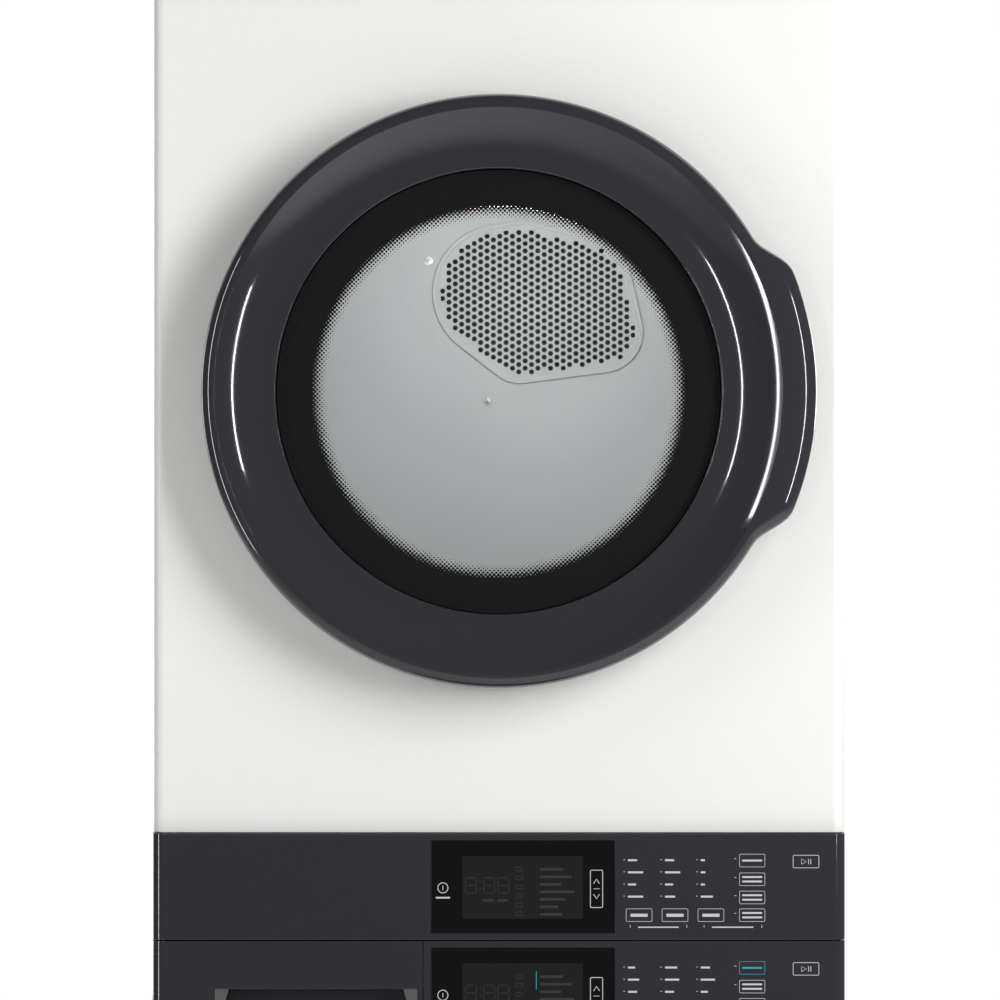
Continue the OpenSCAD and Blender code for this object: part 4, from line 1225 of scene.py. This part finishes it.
def lights():
    """Soft boxes before the doors and behind the cabinet, and a lamp inside each drum."""
    aim = (0, -0.3, 1.35)
    soft_box("key", (2.0, -2.2, 2.2), aim, 71, 1.3, 2.0, mirrored=False)
    soft_box("fill", (-2.6, -3.4, 1.7), aim, 6, 1.4, 2.2, mirrored=False)
    soft_box("strip_left", (-1.7, -1.35, 1.4), DRYER_DOOR.centre, 11, 0.10, 2.0)
    soft_box("strip_dish", (-0.9, -3.4, 1.45), DRYER_DOOR.centre, 6, 0.06, 0.9)
    soft_box("strip_right", (1.5, -1.9, 1.45), DRYER_DOOR.centre, 7, 0.06, 1.1)
    soft_box("top", (0, -0.6, 3.6), aim, 8, 2.5, 2.5, mirrored=False)
    soft_box("rear_key", (2.2, 3.0, 2.3), (0, 0.3, 1.0), 90, 1.6, 2.2)
    soft_box("rear_fill", (-2.4, 2.6, 1.6), (0, 0.3, 1.0), 50, 1.6, 2.2)
    for door, node in ((DRYER_DOOR, "dryer_drum"), (WASHER_DOOR, "washer_drum")):
        low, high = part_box(node)
        place_y = low.y + 0.35 * (high.y - low.y)
        aimed("POINT", node + "_lamp", (0.02, place_y, door.centre.z + 0.16),
              (0, high.y, door.centre.z), 3.0, shadow_soft_size=0.05)


# ---------------------------------------------------------------- user's settings

class LaundryTowerColours(bpy.types.PropertyGroup):
    """The two colours that the tower is sold in."""

    cabinet: bpy.props.FloatVectorProperty(
        name="Cabinet", description="Powder coat of the cabinet's panels", subtype="COLOR",
        size=4, min=0, max=1, default=srgb("#EDEDEB"))
    band: bpy.props.FloatVectorProperty(
        name="Band and doors", description="Moulded plastic of the control band and the doors",
        subtype="COLOR", size=4, min=0, max=1, default=srgb("#29292E"))


class LaundryTowerSizes(bpy.types.PropertyGroup):
    """The sizes of details that the frame doesn't hold."""

    grille_hole: bpy.props.FloatProperty(
        name="Grille hole", description="Diameter of a hole in the air grille", unit="LENGTH",
        default=5.9 * MM, min=3 * MM, max=7 * MM)
    grille_pitch: bpy.props.FloatProperty(
        name="Grille pitch", description="Distance between holes in the air grille",
        unit="LENGTH", default=8.2 * MM, min=7.5 * MM, max=14 * MM)
    dot_pitch: bpy.props.FloatProperty(
        name="Dot pitch", description="Distance between the dots printed on a door glass",
        unit="LENGTH", default=3 * MM, min=2 * MM, max=6 * MM)


# ---------------------------------------------------------------- operators and panel

class TOWER_OT_doors(bpy.types.Operator):
    """Models both doors' rings, panes, frames and hardware."""

    bl_idname = "tower.doors"
    bl_label = "Doors"

    def execute(self, context):
        for door in (DRYER_DOOR, WASHER_DOOR):
            door_ring(door)
        door_glasses()
        door_frames()
        return {"FINISHED"}


class TOWER_OT_cabinet(bpy.types.Operator):
    """Models the painted panels, the base and the rear."""

    bl_idname = "tower.cabinet"
    bl_label = "Cabinet"

    def execute(self, context):
        white_panels()
        rear()
        underside()
        return {"FINISHED"}


class TOWER_OT_control_band(bpy.types.Operator):
    """Models the control band, its displays and the drawer's front."""

    bl_idname = "tower.control_band"
    bl_label = "Control Band"

    def execute(self, context):
        band_shells()
        drawer_cheeks()
        displays()
        return {"FINISHED"}


class TOWER_OT_dryer_inside(bpy.types.Operator):
    """Models the dryer's drum, rear wall and grille."""

    bl_idname = "tower.dryer_inside"
    bl_label = "Dryer Inside"

    def execute(self, context):
        dryer_drum()
        rear_wall()
        air_grille()
        return {"FINISHED"}


class TOWER_OT_washer_inside(bpy.types.Operator):
    """Models the washer's drum and its gasket."""

    bl_idname = "tower.washer_inside"
    bl_label = "Washer Inside"

    def execute(self, context):
        wash_drum()
        gasket()
        return {"FINISHED"}


class TOWER_OT_machinery(bpy.types.Operator):
    """Finishes the motors, belts, tub and the rest inside."""

    bl_idname = "tower.machinery"
    bl_label = "Machinery"

    def execute(self, context):
        machinery()
        return {"FINISHED"}


class TOWER_OT_stage(bpy.types.Operator):
    """Sets the camera, the lights and the floor."""

    bl_idname = "tower.stage"
    bl_label = "Stage"

    def execute(self, context):
        camera()
        floor()
        world_light()
        lights()
        context.scene.view_settings.view_transform = "Standard"
        return {"FINISHED"}


OPERATORS = (TOWER_OT_stage, TOWER_OT_doors, TOWER_OT_cabinet, TOWER_OT_control_band,
             TOWER_OT_dryer_inside, TOWER_OT_washer_inside, TOWER_OT_machinery)


class TOWER_PT_panel(bpy.types.Panel):
    """Lists the tower's colours, sizes and operators."""

    bl_idname = "TOWER_PT_panel"
    bl_label = "Laundry Tower"
    bl_space_type = "VIEW_3D"
    bl_region_type = "UI"
    bl_category = "Laundry Tower"

    def draw(self, context):
        for group in (context.scene.laundry_tower_colours, context.scene.laundry_tower_sizes):
            for name in group.bl_rna.properties.keys():
                if name not in ("rna_type", "name"):
                    self.layout.prop(group, name)
        for operator in OPERATORS:
            self.layout.operator(operator.bl_idname)


CLASSES = (LaundryTowerColours, LaundryTowerSizes, *OPERATORS, TOWER_PT_panel)


def register():
    for kind in CLASSES:
        bpy.utils.register_class(kind)
    bpy.types.Scene.laundry_tower_colours = bpy.props.PointerProperty(type=LaundryTowerColours)
    bpy.types.Scene.laundry_tower_sizes = bpy.props.PointerProperty(type=LaundryTowerSizes)


def unregister():
    del bpy.types.Scene.laundry_tower_sizes
    del bpy.types.Scene.laundry_tower_colours
    for kind in reversed(CLASSES):
        bpy.utils.unregister_class(kind)


def main():
    register()
    for operator in (bpy.ops.tower.stage, bpy.ops.tower.doors, bpy.ops.tower.cabinet,
                     bpy.ops.tower.control_band, bpy.ops.tower.dryer_inside,
                     bpy.ops.tower.washer_inside, bpy.ops.tower.machinery):
        operator()


if __name__ == "__main__":
    main()
